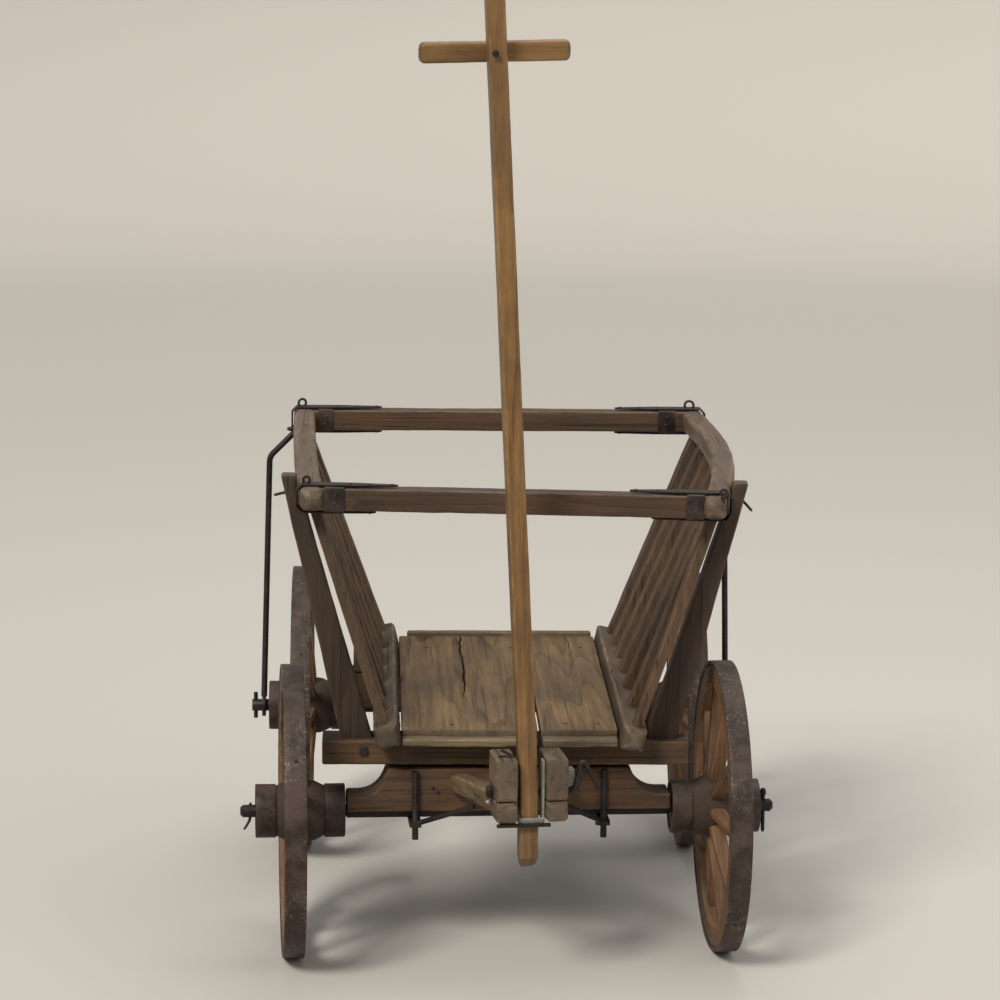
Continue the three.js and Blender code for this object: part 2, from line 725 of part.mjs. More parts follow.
// Cross pin of the tongue
const pinHalf = FORK_GAP / 2 + JAW_WIDTH + TONGUE_PIN_PROUD;
fork.add(
  piece(
    "tongue_pin",
    add(
      rod(
        [-pinHalf, PIVOT_Y, PIVOT_Z],
        [pinHalf, PIVOT_Y, PIVOT_Z],
        TONGUE_PIN_RADIUS,
        TONGUE_PIN_SIDES,
      ),
      ...[-1, 1].map((side) =>
        rod(
          [side * (pinHalf - TONGUE_PIN_PROUD + FIT), PIVOT_Y, PIVOT_Z],
          [side * (pinHalf - TONGUE_PIN_TIP), PIVOT_Y, PIVOT_Z],
          TONGUE_NUT_RADIUS,
          TONGUE_NUT_SIDES,
        ),
      ),
    ),
    "iron",
  ),
);

// Stop iron: hangs beside the right jaw and crosses in front of the pole's foot
const stopTop = JAW_TOP - STOP_BELOW_JAW_TOP;
const stopX = FORK_GAP / 2 - FIT;
const leanAtStop = (PIVOT_Z - STOP_Z) * Math.sin(TONGUE_LEAN * DEG);
const stopY = PIVOT_Y - POLE_DEPTH / 2 - leanAtStop - 2 * FIT;
const stopLeg = block(
  [stopX - STOP_STRAP, stopY - STOP_STRAP, STOP_Z - STOP_HEIGHT / 2],
  [stopX, stopY - STOP_STRAP + STOP_WIDTH, stopTop],
);
const stopBar = block(
  [-POLE_WIDTH / 2 - STOP_STRAP, stopY - STOP_STRAP, STOP_Z - STOP_HEIGHT / 2],
  [stopX, stopY, STOP_Z + STOP_HEIGHT / 2],
);
fork.add(piece("tongue_stop", cut(add(stopLeg, stopBar), pinHole), "iron"));

// Tongue, in a frame at the cross pin with the lean taken out
const poleX = (z) => {
  const low = THREE.MathUtils.mapLinear(z, PIVOT_Z, POLE_KNEE, POLE_SIDE, POLE_KNEE_SIDE);
  if (z <= POLE_KNEE) return Math.min(low, POLE_SIDE);
  return THREE.MathUtils.mapLinear(z, POLE_KNEE, POLE_TOP, POLE_KNEE_SIDE, POLE_TOP_SIDE);
};
const poleRing = (z, grow) =>
  ring(
    new THREE.Vector3(poleX(z), 0, z - PIVOT_Z),
    EAST,
    ALONG,
    POLE_WIDTH + grow,
    POLE_DEPTH + grow,
    POLE_CORNER,
  );
const pole = loft([
  poleRing(POLE_FOOT, -POLE_FOOT_CHAMFER),
  poleRing(POLE_FOOT + POLE_FOOT_CHAMFER, 0),
  poleRing(PIVOT_Z, 0),
  poleRing(POLE_KNEE, 0),
  poleRing(POLE_TOP - POLE_TIP_CHAMFER, 0),
  poleRing(POLE_TOP, -POLE_TIP_CHAMFER),
]);
const poleHole = rod(
  [-FORK_GAP, 0, 0],
  [FORK_GAP, 0, 0],
  TONGUE_PIN_RADIUS + HINGE_FIT,
  TONGUE_PIN_SIDES,
);
tongue.add(piece("tongue_pole", cut(pole, poleHole), "pole"));

const handleX = poleX(HANDLE_Z) + HANDLE_SHIFT;
const handleY = POLE_DEPTH / 2 + HANDLE_DEPTH / 2;
const handleRing = (x, scale) =>
  ring(
    new THREE.Vector3(
      handleX + x,
      handleY,
      HANDLE_Z - PIVOT_Z + x * Math.tan(HANDLE_TILT * DEG),
    ),
    ALONG,
    UP,
    HANDLE_DEPTH * scale,
    HANDLE_HEIGHT * scale,
    HANDLE_CORNER,
  );
const handle = loft([
  handleRing(-HANDLE_LENGTH / 2, HANDLE_END_SCALE),
  handleRing(-HANDLE_LENGTH / 2 + HANDLE_END, 1),
  handleRing(HANDLE_LENGTH / 2 - HANDLE_END, 1),
  handleRing(HANDLE_LENGTH / 2, HANDLE_END_SCALE),
]);
const poleGrown = loft([poleRing(POLE_KNEE, 2 * FIT), poleRing(POLE_TOP, 2 * FIT)]);
tongue.add(piece("handle", cut(handle, poleGrown), "pole"));

// Rails of the side ladders, as lofts along Y
// side word, side sign, height of the upper rail in front, its outward bow,
// depth of the lower rail's housing, how much the slats crowd towards the rear
const ladders = [
  {
    word: "left",
    side: -1,
    frontZ: UPPER_LEFT_FRONT_Z,
    bow: UPPER_LEFT_BOW,
    housing: LEFT_RAIL_HOUSING,
    crowd: LEFT_SLATS_CROWD,
  },
  {
    word: "right",
    side: 1,
    frontZ: UPPER_RIGHT_FRONT_Z,
    bow: UPPER_RIGHT_BOW,
    housing: RIGHT_RAIL_HOUSING,
    crowd: RIGHT_SLATS_CROWD,
  },
];
const upperCentre = ({ side, frontZ, bow }, y) => {
  const t = (y - UPPER_RAIL_FRONT) / (UPPER_RAIL_REAR - UPPER_RAIL_FRONT);
  const x = UPPER_FRONT_X + (UPPER_REAR_X - UPPER_FRONT_X) * t + bow * Math.sin(Math.PI * t);
  return new THREE.Vector3(side * x, y, frontZ + (UPPER_REAR_Z - frontZ) * t);
};
function upperRail(ladder, grow) {
  const size = UPPER_RAIL + 2 * grow;
  const length = UPPER_RAIL_REAR - UPPER_RAIL_FRONT;
  const inner = Array.from({ length: RAIL_STEPS + 1 }, (_, k) => {
    const y = UPPER_RAIL_FRONT + RAIL_END + ((length - 2 * RAIL_END) * k) / RAIL_STEPS;
    return ring(upperCentre(ladder, y), EAST, UP, size, size, RAIL_CORNER);
  });
  const tipSize = size * RAIL_TIP_SCALE;
  const tip = (y) => ring(upperCentre(ladder, y), EAST, UP, tipSize, tipSize, RAIL_CORNER);
  return loft([tip(UPPER_RAIL_FRONT - grow), ...inner, tip(UPPER_RAIL_REAR + grow)]);
}
const railHalf = LOWER_RAIL / 2;
const railReach =
  railHalf * Math.cos(LOWER_RAIL_TILT * DEG) +
  (railHalf - RAIL_CORNER) * Math.sin(LOWER_RAIL_TILT * DEG);
const lowerCentre = ({ side, housing }, y) =>
  new THREE.Vector3(side * LOWER_RAIL_X, y, BED_UNDERSIDE + railHalf - housing);
function lowerRail(ladder, grow) {
  const size = LOWER_RAIL + 2 * grow;
  const lean = ladder.side * LOWER_RAIL_TILT * DEG;
  const across = EAST.clone().applyAxisAngle(ALONG, lean);
  const upward = UP.clone().applyAxisAngle(ALONG, lean);
  const at = (y, scale) =>
    ring(lowerCentre(ladder, y), across, upward, size * scale, size * scale, RAIL_CORNER);
  return loft([
    at(LOWER_RAIL_FRONT - grow, LOWER_RAIL_TIP_SCALE),
    at(LOWER_RAIL_FRONT + LOWER_RAIL_END, 1),
    at(LOWER_RAIL_REAR - LOWER_RAIL_END, 1),
    at(LOWER_RAIL_REAR + grow, LOWER_RAIL_TIP_SCALE),
  ]);
}

const grownRails = [];
for (const ladder of ladders) {
  const { word } = ladder;
  const upper = upperRail(ladder, FIT);
  const lower = lowerRail(ladder, FIT);
  grownRails.push(upper, lower);
  cart.add(piece("rail_upper_" + word, upperRail(ladder, 0), "rail"));
  cart.add(piece("rail_lower_" + word, lowerRail(ladder, 0), "rail"));
  for (let k = 0; k < SLAT_COUNT; k++) {
    const share = k / (SLAT_COUNT - 1);
    const t = share + ladder.crowd * share * (1 - share);
    const foot = lowerCentre(ladder, SLAT_FOOT_FRONT + (SLAT_REAR - SLAT_FOOT_FRONT) * t);
    const head = upperCentre(ladder, SLAT_HEAD_FRONT + (SLAT_REAR - SLAT_HEAD_FRONT) * t);
    const rise = head.clone().sub(foot).normalize();
    const face = ALONG.clone().cross(rise).normalize();
    const depth = rise.clone().cross(face);
    const slat = loft([
      ring(foot, face, depth, SLAT_FOOT_THICKNESS, SLAT_WIDTH, SLAT_CORNER),
      ring(head, face, depth, SLAT_HEAD_THICKNESS, SLAT_WIDTH, SLAT_CORNER),
    ]);
    cart.add(piece("slat_" + word + "_" + (k + 1), cut(slat, upper, lower), "slat"));
  }
}

// Stakes: tapered planks that stand in the front bolster, against the outer sides of the rails
const bolsterTop = BOLSTER_BOTTOM + BOLSTER_HEIGHT;
function stakeLoft(ladder, grow) {
  const { side } = ladder;
  const rail = upperCentre(ladder, 0);
  const tipZ = rail.z + STAKE_ABOVE_RAIL;
  const footIn = LOWER_RAIL_X + railReach + STAKE_FOOT_SEAT;
  const tipIn = Math.abs(rail.x) + UPPER_RAIL / 2 + STAKE_TIP_SEAT;
  const at = (z) => {
    const t = (z - bolsterTop) / (tipZ - bolsterTop);
    const inner = footIn + (tipIn - footIn) * t;
    const width = STAKE_FOOT_WIDTH + (STAKE_TIP_WIDTH - STAKE_FOOT_WIDTH) * t;
    const centre = new THREE.Vector3(side * (inner + width / 2), 0, z);
    const thickness = STAKE_THICKNESS - STAKE_TAPER * t;
    return ring(centre, EAST, ALONG, width + 2 * grow, thickness + 2 * grow, STAKE_CORNER);
  };
  return loft([at(BOLSTER_BOTTOM + STAKE_TENON_CLEAR - grow), at(tipZ + grow)]);
}
for (const ladder of ladders) {
  cart.add(piece("stake_" + ladder.word, cut(stakeLoft(ladder, 0), ...grownRails), "stake"));
}
const stakeMortises = ladders.map((ladder) => stakeLoft(ladder, FIT));

// Bolsters, reach and rear axle
const reachLow = BOLSTER_BOTTOM + FIT;
const reachSlot = block(
  [-REACH_WIDTH / 2 - FIT, REACH_FRONT - FIT, BOLSTER_BOTTOM - SLOT_SPARE],
  [REACH_WIDTH / 2 + FIT, REACH_REAR + SLOT_SPARE, reachLow + REACH_THICKNESS + FIT],
);
const reach = block(
  [-REACH_WIDTH / 2, REACH_FRONT, reachLow],
  [REACH_WIDTH / 2, REACH_REAR, reachLow + REACH_THICKNESS],
);
cart.add(piece("reach", cut(reach, kingpinHole), "axle"));
const halfDepth = BOLSTER_DEPTH / 2;
const frontBolster = block(
  [FRONT_BOLSTER_LEFT, -halfDepth, BOLSTER_BOTTOM],
  [FRONT_BOLSTER_RIGHT, halfDepth, bolsterTop],
);
const rearBolster = block(
  [-REAR_BOLSTER_HALF, WHEELBASE - halfDepth, BOLSTER_BOTTOM],
  [REAR_BOLSTER_HALF, WHEELBASE + halfDepth, bolsterTop],
);
cart.add(
  piece(
    "bolster_front",
    cut(frontBolster, reachSlot, kingpinHole, headHole, ...stakeMortises, ...grownRails),
    "axle",
  ),
);
cart.add(piece("bolster_rear", cut(rearBolster, reachSlot, ...grownRails), "axle"));
const rearBed = block(
  [-rearBedHalf, -AXLE_BED_DEPTH / 2, REAR_WHEEL_RADIUS + REAR_BED_ABOVE_HUB_LINE],
  [rearBedHalf, AXLE_BED_DEPTH / 2, BOLSTER_BOTTOM - FIT],
);
const rearBedPiece = piece(
  "axle_bed_rear",
  cut(rearBed, grownBar(REAR_WHEEL_RADIUS, rearBedHalf)),
  "axle",
);
rearBedPiece.position.y = WHEELBASE;
cart.add(rearBedPiece);
const rearBar = piece(
  "axle_bar_rear",
  axleBar(REAR_WHEEL_RADIUS, REAR_ARM_END, rearBedHalf),
  "iron",
);
rearBar.position.y = WHEELBASE;
cart.add(rearBar);

// Floor boards between the lower rails, a split batten along their front ends
// and a cleat on the rear bolster, just higher than the boards that end against it
const bedHalf = LOWER_RAIL_X - railReach - 2 * FIT;
// side word, side sign
for (const [word, side] of SIDES) {
  const seam = BED_SEAM + (side * BED_SEAM_GAP) / 2;
  const board = block(
    [Math.min(seam, side * bedHalf), BED_FRONT, BED_UNDERSIDE],
    [Math.max(seam, side * bedHalf), BOARD_REAR, BED_TOP],
  );
  cart.add(piece("floor_board_" + word, board, "bed"));
  const split = BED_SEAM + (side * BATTEN_GAP) / 2;
  const end = side * (bedHalf - BATTEN_SHORT_OF_RAIL);
  const batten = block(
    [Math.min(split, end), BED_FRONT - FIT - BATTEN_DEPTH, BED_UNDERSIDE],
    [Math.max(split, end), BED_FRONT - FIT, BED_UNDERSIDE + BATTEN_HEIGHT],
  );
  cart.add(piece("floor_batten_" + word, batten, "bed"));
}
const cleat = block(
  [CLEAT_LEFT, BED_REAR - CLEAT_DEPTH, BED_UNDERSIDE],
  [CLEAT_RIGHT, BED_REAR, BED_TOP + CLEAT_ABOVE_BOARDS],
);
cart.add(piece("floor_cleat", cleat, "bed"));

// Crossbars between the upper rails, with an iron strap round each rail
// name, distance to the rear
const bars = [
  { name: "front", y: FRONT_BAR_Y },
  { name: "rear", y: REAR_BAR_Y },
];
for (const { name, y } of bars) {
  const [left, right] = ladders.map((ladder) => upperCentre(ladder, y));
  const bar = loft([
    ring(left, ALONG, UP, CROSSBAR, CROSSBAR, BAR_CORNER),
    ring(right, ALONG, UP, CROSSBAR, CROSSBAR, BAR_CORNER),
  ]);
  cart.add(piece("crossbar_" + name, cut(bar, ...grownRails), "rail"));
  for (const ladder of ladders) {
    const { word, side } = ladder;
    const here = upperCentre(ladder, y);
    const slope = (right.z - left.z) / (right.x - left.x);
    const drift = Math.abs(upperCentre(ladder, y + STRAP_WIDTH / 2).x - here.x);
    const out = UPPER_RAIL / 2 + FIT + STRAP_THICKNESS / 2 + drift + STRAP_LIFT;
    const lift = UPPER_RAIL / 2 + FIT + STRAP_THICKNESS / 2 + STRAP_LIFT;
    const inward = UPPER_RAIL / 2 + STRAP_REACH;
    // distance outwards from the rail's centre, height above it
    const line = [
      [-inward, lift],
      [out - STRAP_CORNER, lift],
      [out, lift - STRAP_CORNER],
      [out, -lift + STRAP_CORNER],
      [out - STRAP_CORNER, -lift],
      [-inward, -lift],
    ];
    const strap = ribbon(
      line.map(([s, h]) => [here.x + side * s, here.z + h + slope * side * s]),
      STRAP_THICKNESS,
      y - STRAP_WIDTH / 2,
      y + STRAP_WIDTH / 2,
    );
    cart.add(piece("strap_" + name + "_" + word, strap, "iron"));
  }
}

// Rear stays: from an eye on the axle arm up to the upper rail
for (const ladder of ladders) {
  const { word, side } = ladder;
  const eyeX = REAR_HUB_CENTRE + HUB_LENGTH / 2 + STAY_HUB_GAP + STAY_EYE_THICKNESS / 2;
  const railPoint = upperCentre(ladder, WHEELBASE);
  const eye = turned(
    [
      [eyeX - STAY_EYE_THICKNESS / 2, AXLE_ARM_RADIUS + FIT],
      [eyeX - STAY_EYE_THICKNESS / 2, STAY_EYE_RADIUS],
      [eyeX + STAY_EYE_THICKNESS / 2, STAY_EYE_RADIUS],
      [eyeX + STAY_EYE_THICKNESS / 2, AXLE_ARM_RADIUS + FIT],
    ],
    ARM_SIDES,
  ).translate([0, WHEELBASE, REAR_WHEEL_RADIUS]);
  const eyeTop = REAR_WHEEL_RADIUS + STAY_EYE_RADIUS;
  const stem = bentRod(
    [
      [eyeX, WHEELBASE, eyeTop - STAY_FOOT_SUNK],
      [eyeX, WHEELBASE, eyeTop + STAY_FOOT_RISE],
      [STAY_TOP_X, WHEELBASE, railPoint.z - STAY_KNEE_BELOW_RAIL],
      [Math.abs(railPoint.x), WHEELBASE, railPoint.z],
    ],
    STAY_RADIUS,
    STAY_ELBOW,
  );
  const stay = add(eye, stem);
  const standing = side > 0 ? stay : stay.mirror([1, 0, 0]);
  cart.add(piece("stay_" + word, cut(standing, ...grownRails), "iron"));
}

// The middle of the footprint, on the floor, is the origin
group.add(cart);
cart.updateMatrixWorld(true);
const bounds = new THREE.Box3().setFromObject(cart, true);
const middle = bounds.getCenter(new THREE.Vector3());
cart.position.set(-middle.x, -middle.y, -bounds.min.z);

export default group;
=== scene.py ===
# %% [markdown]
# # A weathered hand wagon
#
# The wagon stands on four spoked wheels with its tongue upright. Its solids come from the packed
# model and stay where they are. This script gives each piece the surface that years of weather
# and hands gave the real one, and adds the small things that no size depends on.

# %% Load the frame
import json
import math

import bmesh
import bpy
import numpy as np
from mathutils import Matrix, Vector, noise

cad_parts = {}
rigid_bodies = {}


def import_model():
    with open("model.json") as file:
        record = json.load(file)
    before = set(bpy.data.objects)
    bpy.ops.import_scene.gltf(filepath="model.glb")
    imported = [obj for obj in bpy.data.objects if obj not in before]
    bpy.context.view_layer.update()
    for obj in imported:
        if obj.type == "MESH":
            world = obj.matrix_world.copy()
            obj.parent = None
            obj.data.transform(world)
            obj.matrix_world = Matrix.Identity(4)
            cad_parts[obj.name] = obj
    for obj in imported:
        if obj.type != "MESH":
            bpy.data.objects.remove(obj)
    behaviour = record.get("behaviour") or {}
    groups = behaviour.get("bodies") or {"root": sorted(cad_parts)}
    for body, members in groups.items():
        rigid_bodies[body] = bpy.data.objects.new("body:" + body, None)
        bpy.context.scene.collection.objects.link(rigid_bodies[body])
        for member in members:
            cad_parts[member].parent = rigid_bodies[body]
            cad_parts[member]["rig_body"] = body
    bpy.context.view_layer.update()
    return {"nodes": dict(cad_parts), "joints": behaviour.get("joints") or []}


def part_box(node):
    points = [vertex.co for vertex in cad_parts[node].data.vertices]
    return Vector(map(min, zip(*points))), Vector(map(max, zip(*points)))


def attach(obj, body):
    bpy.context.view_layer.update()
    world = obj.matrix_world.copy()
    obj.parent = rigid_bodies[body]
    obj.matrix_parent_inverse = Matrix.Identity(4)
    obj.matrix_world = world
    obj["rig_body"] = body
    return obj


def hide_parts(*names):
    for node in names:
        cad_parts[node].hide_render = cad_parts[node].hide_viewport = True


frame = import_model()
JOINTS = {joint["name"]: joint for joint in frame["joints"]}
print("nodes in the frame:", len(frame["nodes"]))

# %% [markdown]
# The camera stands far back with a long lens, as it did for the photo: the wheels look nearly
# edge-on and the rear crossbar is only a little smaller than the front one. A fit to the wheel
# circles and the rails gave its place, its three directions and its focal length.

# %% Camera
KINGPIN = Vector(JOINTS["steering"]["pos_m"])
CAMERA_FROM_KINGPIN = Vector((-0.2080, -5.4569, 1.7163))
CAMERA_RIGHT = Vector((0.9994, -0.03317, 0.01008))
CAMERA_AHEAD = Vector((0.03445, 0.98263, -0.18233))
FOCAL_PIXELS = 3680.3
FRAME_PIXELS = 1000
SENSOR = 36.0


def place_camera():
    data = bpy.data.cameras.new("camera")
    data.sensor_width = SENSOR
    data.lens = FOCAL_PIXELS / FRAME_PIXELS * SENSOR
    data.clip_end = 60
    camera = bpy.data.objects.new("camera", data)
    bpy.context.scene.collection.objects.link(camera)
    ahead = CAMERA_AHEAD.normalized()
    right = (CAMERA_RIGHT - ahead * CAMERA_RIGHT.dot(ahead)).normalized()
    up = right.cross(ahead)
    turn = Matrix((right, up, -ahead)).transposed().to_4x4()
    place = CAMERA_FROM_KINGPIN + Vector((KINGPIN.x, KINGPIN.y, 0))
    camera.matrix_world = Matrix.Translation(place) @ turn
    bpy.context.scene.camera = camera
    return camera


camera = place_camera()
print("camera", [round(v, 3) for v in camera.location], "lens", round(camera.data.lens, 1))

# %% [markdown]
# A round pale floor that curves up far away on every side gives soft shadows and no horizon line,
# from whichever side the wagon is looked at. The key is a wide, soft sun from the upper left, which
# lights the near and the far floor alike; two large area lights and a bright world fill the
# shadows, so the tyres get long highlights.

# %% Floor and light
FLOOR_CENTRE = 2.0
FLOOR_FLAT = 8.0
FLOOR_CURVE = 1.6
FLOOR_CURVE_STEPS = 12
FLOOR_HEIGHT = 1.9
FLOOR_SIDES = 72
FLOOR_COLOUR = (0.50, 0.48, 0.44, 1)
AIM = Vector((0, 0, 0.5))
WARM = (1.0, 0.96, 0.90)
NEUTRAL = (1.0, 0.98, 0.95)
WORLD_STRENGTH = 0.40


def new_material(name):
    """A material with nodes: itself, its tree and its shader."""
    material = bpy.data.materials.new(name)
    material.use_nodes = True
    return material, material.node_tree, material.node_tree.nodes["Principled BSDF"]


def make_floor():
    profile = [(FLOOR_CENTRE, 0.0), (FLOOR_FLAT, 0.0)]
    for k in range(1, FLOOR_CURVE_STEPS + 1):
        angle = math.pi / 2 * k / FLOOR_CURVE_STEPS
        out = FLOOR_FLAT + FLOOR_CURVE * math.sin(angle)
        profile.append((out, FLOOR_CURVE * (1 - math.cos(angle))))
    profile.append((FLOOR_FLAT + FLOOR_CURVE, FLOOR_HEIGHT))
    turns = [2 * math.pi * n / FLOOR_SIDES for n in range(FLOOR_SIDES)]
    points = [(r * math.cos(a), r * math.sin(a), z) for r, z in profile for a in turns]
    faces = [tuple(range(FLOOR_SIDES))]
    for k in range(len(profile) - 1):
        base = k * FLOOR_SIDES
        for n in range(FLOOR_SIDES):
            m = (n + 1) % FLOOR_SIDES
            faces.append((base + n, base + FLOOR_SIDES + n, base + FLOOR_SIDES + m, base + m))
    mesh = bpy.data.meshes.new("floor")
    mesh.from_pydata(points, [], faces)
    mesh.shade_smooth()
    floor = bpy.data.objects.new("floor", mesh)
    bpy.context.scene.collection.objects.link(floor)
    material, _, shader = new_material("pale_floor")
    shader.inputs["Base Color"].default_value = FLOOR_COLOUR
    shader.inputs["Roughness"].default_value = 0.75
    mesh.materials.append(material)


def add_light(name, kind, place, energy, color):
    """A light turned towards the wagon; returns its data."""
    data = bpy.data.lights.new(name, kind)
    data.energy = energy
    data.color = color
    light = bpy.data.objects.new(name, data)
    bpy.context.scene.collection.objects.link(light)
    light.location = place
    light.rotation_euler = (AIM - Vector(place)).to_track_quat("-Z", "Y").to_euler()
    return data


make_floor()
add_light("key", "SUN", (-2.2, -3.2, 4.2), 2.7, WARM).angle = math.radians(18)
for name, place, power in (("fill", (3.2, -2.6, 2.6), 45), ("top", (0.4, 1.2, 4.4), 60)):
    area = add_light(name, "AREA", place, power, NEUTRAL)
    area.shape = "DISK"
    area.size = 2.6
world = bpy.data.worlds.new("room")
bpy.context.scene.world = world
world.use_nodes = True
sky = world.node_tree.nodes["Background"]
sky.inputs["Color"].default_value = (*NEUTRAL, 1)
sky.inputs["Strength"].default_value = WORLD_STRENGTH
bpy.context.scene.view_settings.view_transform = "Standard"
print("lights:", [light.name for light in bpy.data.lights])

# %% [markdown]
# A sawn timber is a section pushed along a line. The solid already holds that line and section,
# so each timber is measured from it: the solid is sliced across its length, and every slice gives
# a middle, a width and a height. A finer outline with rounded corners is then lofted through them.
# The loft also stores three facts per point for the materials: where the point lies along and
# across the grain, how near it is to a corner, and how near it is to a sawn end.

# %% Slice a solid
X_WAY = Vector((1, 0, 0))
Y_WAY = Vector((0, 1, 0))
Z_WAY = Vector((0, 0, 1))
SLICE_INSET = 1e-4


def slice_solid(node, along, across, count, skip):
    """Middles and sizes of count slices; near the ends, within skip, they are carried on straight."""
    mesh = frame["nodes"][node].data
    points = np.array([vertex.co[:] for vertex in mesh.vertices])
    edges = np.array([edge.vertices[:] for edge in mesh.edges])
    third = along.cross(across)
    local = points @ np.array([along[:], across[:], third[:]]).T
    low, high = local[:, 0].min(), local[:, 0].max()
    inset = max(skip, SLICE_INSET)
    levels = np.linspace(low + inset, high - inset, count)
    rows = []
    for level in levels:
        a, b = local[edges[:, 0]], local[edges[:, 1]]
        cross = (a[:, 0] - level) * (b[:, 0] - level) <= 0
        a, b = a[cross], b[cross]
        run = b[:, 0] - a[:, 0]
        share = np.where(np.abs(run) > 1e-9, (level - a[:, 0]) / np.where(run == 0, 1, run), 0.5)
        cut = a[:, 1:] + (b[:, 1:] - a[:, 1:]) * np.clip(share, 0, 1)[:, None]
        least, most = cut.min(0), cut.max(0)
        rows.append([*((least + most) / 2), *(most - least)])
    return low, high, levels, np.array(rows), third


# %% [markdown]
# The outline of a timber is a rectangle with rounded corners and a few points along each side.
# A drying crack is three points close together on one side: the middle one sinks into the wood,
# and the two beside it part as the crack opens, so it is a real groove with real walls.

# %% Outline of a section
CRACK_STEP = 1e-3
CRACK_ENTRY = 4
CORNERS = ((1, -1, -90), (1, 1, 0), (-1, 1, 90), (-1, -1, 180))


def section_points(per_side, per_corner, cracks):
    """Points round a section: corner signs, corner angle or side share, and crack places."""
    plan = []
    for side, (sx, sy, start) in enumerate(CORNERS):
        for k in range(per_corner):
            angle = math.radians(start + 90 * k / (per_corner - 1))
            plan.append(("corner", sx, sy, angle, None))
        shares = [(k + 1) / (per_side + 1) for k in range(per_side)]
        for crack in cracks:
            if crack["side"] == side:
                shares = [s for s in shares if abs(s - crack["share"]) > 0.7 / (per_side + 1)]
                shares += [crack["share"] + step * CRACK_STEP for step in (-1, 0, 1)]
        for share in sorted(shares):
            number = None
            for index, crack in enumerate(cracks):
                if crack["side"] == side and abs(share - crack["share"]) <= 1.01 * CRACK_STEP:
                    number = (index, round((share - crack["share"]) / CRACK_STEP))
            plan.append(("side", side, share, None, number))
    return plan


def loft_section(plan, width, height, radius, level, cracks):
    """Offsets from the middle, outward directions and corner marks of one section."""
    w, h = width / 2, height / 2
    r = min(radius, w * 0.95, h * 0.95)
    ends = [
        ((w, -h + r), (w, h - r), (1, 0)),
        ((w - r, h), (-w + r, h), (0, 1)),
        ((-w, h - r), (-w, -h + r), (-1, 0)),
        ((-w + r, -h), (w - r, -h), (0, -1)),
    ]
    rows = []
    for kind, a, b, angle, number in plan:
        if kind == "corner":
            out = (math.cos(angle), math.sin(angle))
            middle = 1 - abs(abs(out[0]) - abs(out[1]))
            rows.append((a * (w - r) + out[0] * r, b * (h - r) + out[1] * r, *out, 0.35 + 0.65 * middle))
            continue
        start, end, out = ends[a]
        share = b
        sink = 0.0
        if number is not None:
            crack = cracks[number[0]]
            run = (level - crack["start"]) / (crack["end"] - crack["start"])
            span = math.hypot(end[0] - start[0], end[1] - start[1])
            opening = min(1.0, CRACK_ENTRY * run) if 0 < run < 1 else 0.0
            wander = crack["wander"] * noise.noise(Vector((level * 26, crack["share"] * 9, 3.1)))
            share = crack["share"] + (wander + number[1] * (crack["width"] / 2 * opening + 1e-4)) / span
            sink = crack["depth"] * opening if number[1] == 0 else 0.0
        x = start[0] + (end[0] - start[0]) * share - out[0] * sink
        y = start[1] + (end[1] - start[1]) * share - out[1] * sink
        rows.append((x, y, *out, max(0.0, 0.3 - 3 * min(share, 1 - share))))
    return rows


# %% [markdown]
# Old timber is never flat: soft wood between the rings wears away, corners chip, and sawn ends
# round over. Each point is moved inwards by noise that is stretched along the grain, so the piece
# keeps inside its solid, and corners lose a little more wherever the noise is high.

# %% Loft a timber
CHIP_SCALE = 38
DENT_SCALE = 9
DENT_ACROSS = 60
CHIP_ACROSS = 30
CORNER_STEPS = 5
END_MARK = 0.004
GRAIN_SHIFT = (0.37, 0.11, -0.07)
SMOOTH_ANGLE = math.radians(35)


def tube_faces(rings, size, closed=False):
    """Faces between rings of equal size, with a cap at both ends unless the tube is closed."""
    faces = []
    for k in range(rings if closed else rings - 1):
        base, after = k * size, (k + 1) % rings * size
        for n in range(size):
            m = (n + 1) % size
            faces.append((base + n, base + m, after + m, after + n))
    if not closed:
        faces.append(tuple(range(size)))
        faces.append(tuple((rings - 1) * size + n for n in range(size)))
    return faces


def finish_mesh(name, points, faces, marks):
    mesh = bpy.data.meshes.new(name)
    mesh.from_pydata(points, [], faces)
    for title, values in marks.items():
        values = np.asarray(values, dtype=np.float32)
        kind = "FLOAT_VECTOR" if values.ndim == 2 else "FLOAT"
        layer = mesh.attributes.new(title, kind, "POINT")
        layer.data.foreach_set("vector" if values.ndim == 2 else "value", values.ravel())
    tidy = bmesh.new()
    tidy.from_mesh(mesh)
    bmesh.ops.recalc_face_normals(tidy, faces=tidy.faces)
    tidy.to_mesh(mesh)
    tidy.free()
    mesh.shade_smooth()
    mesh.set_sharp_from_angle(angle=SMOOTH_ANGLE)
    made = bpy.data.objects.new(name, mesh)
    bpy.context.scene.collection.objects.link(made)
    return made


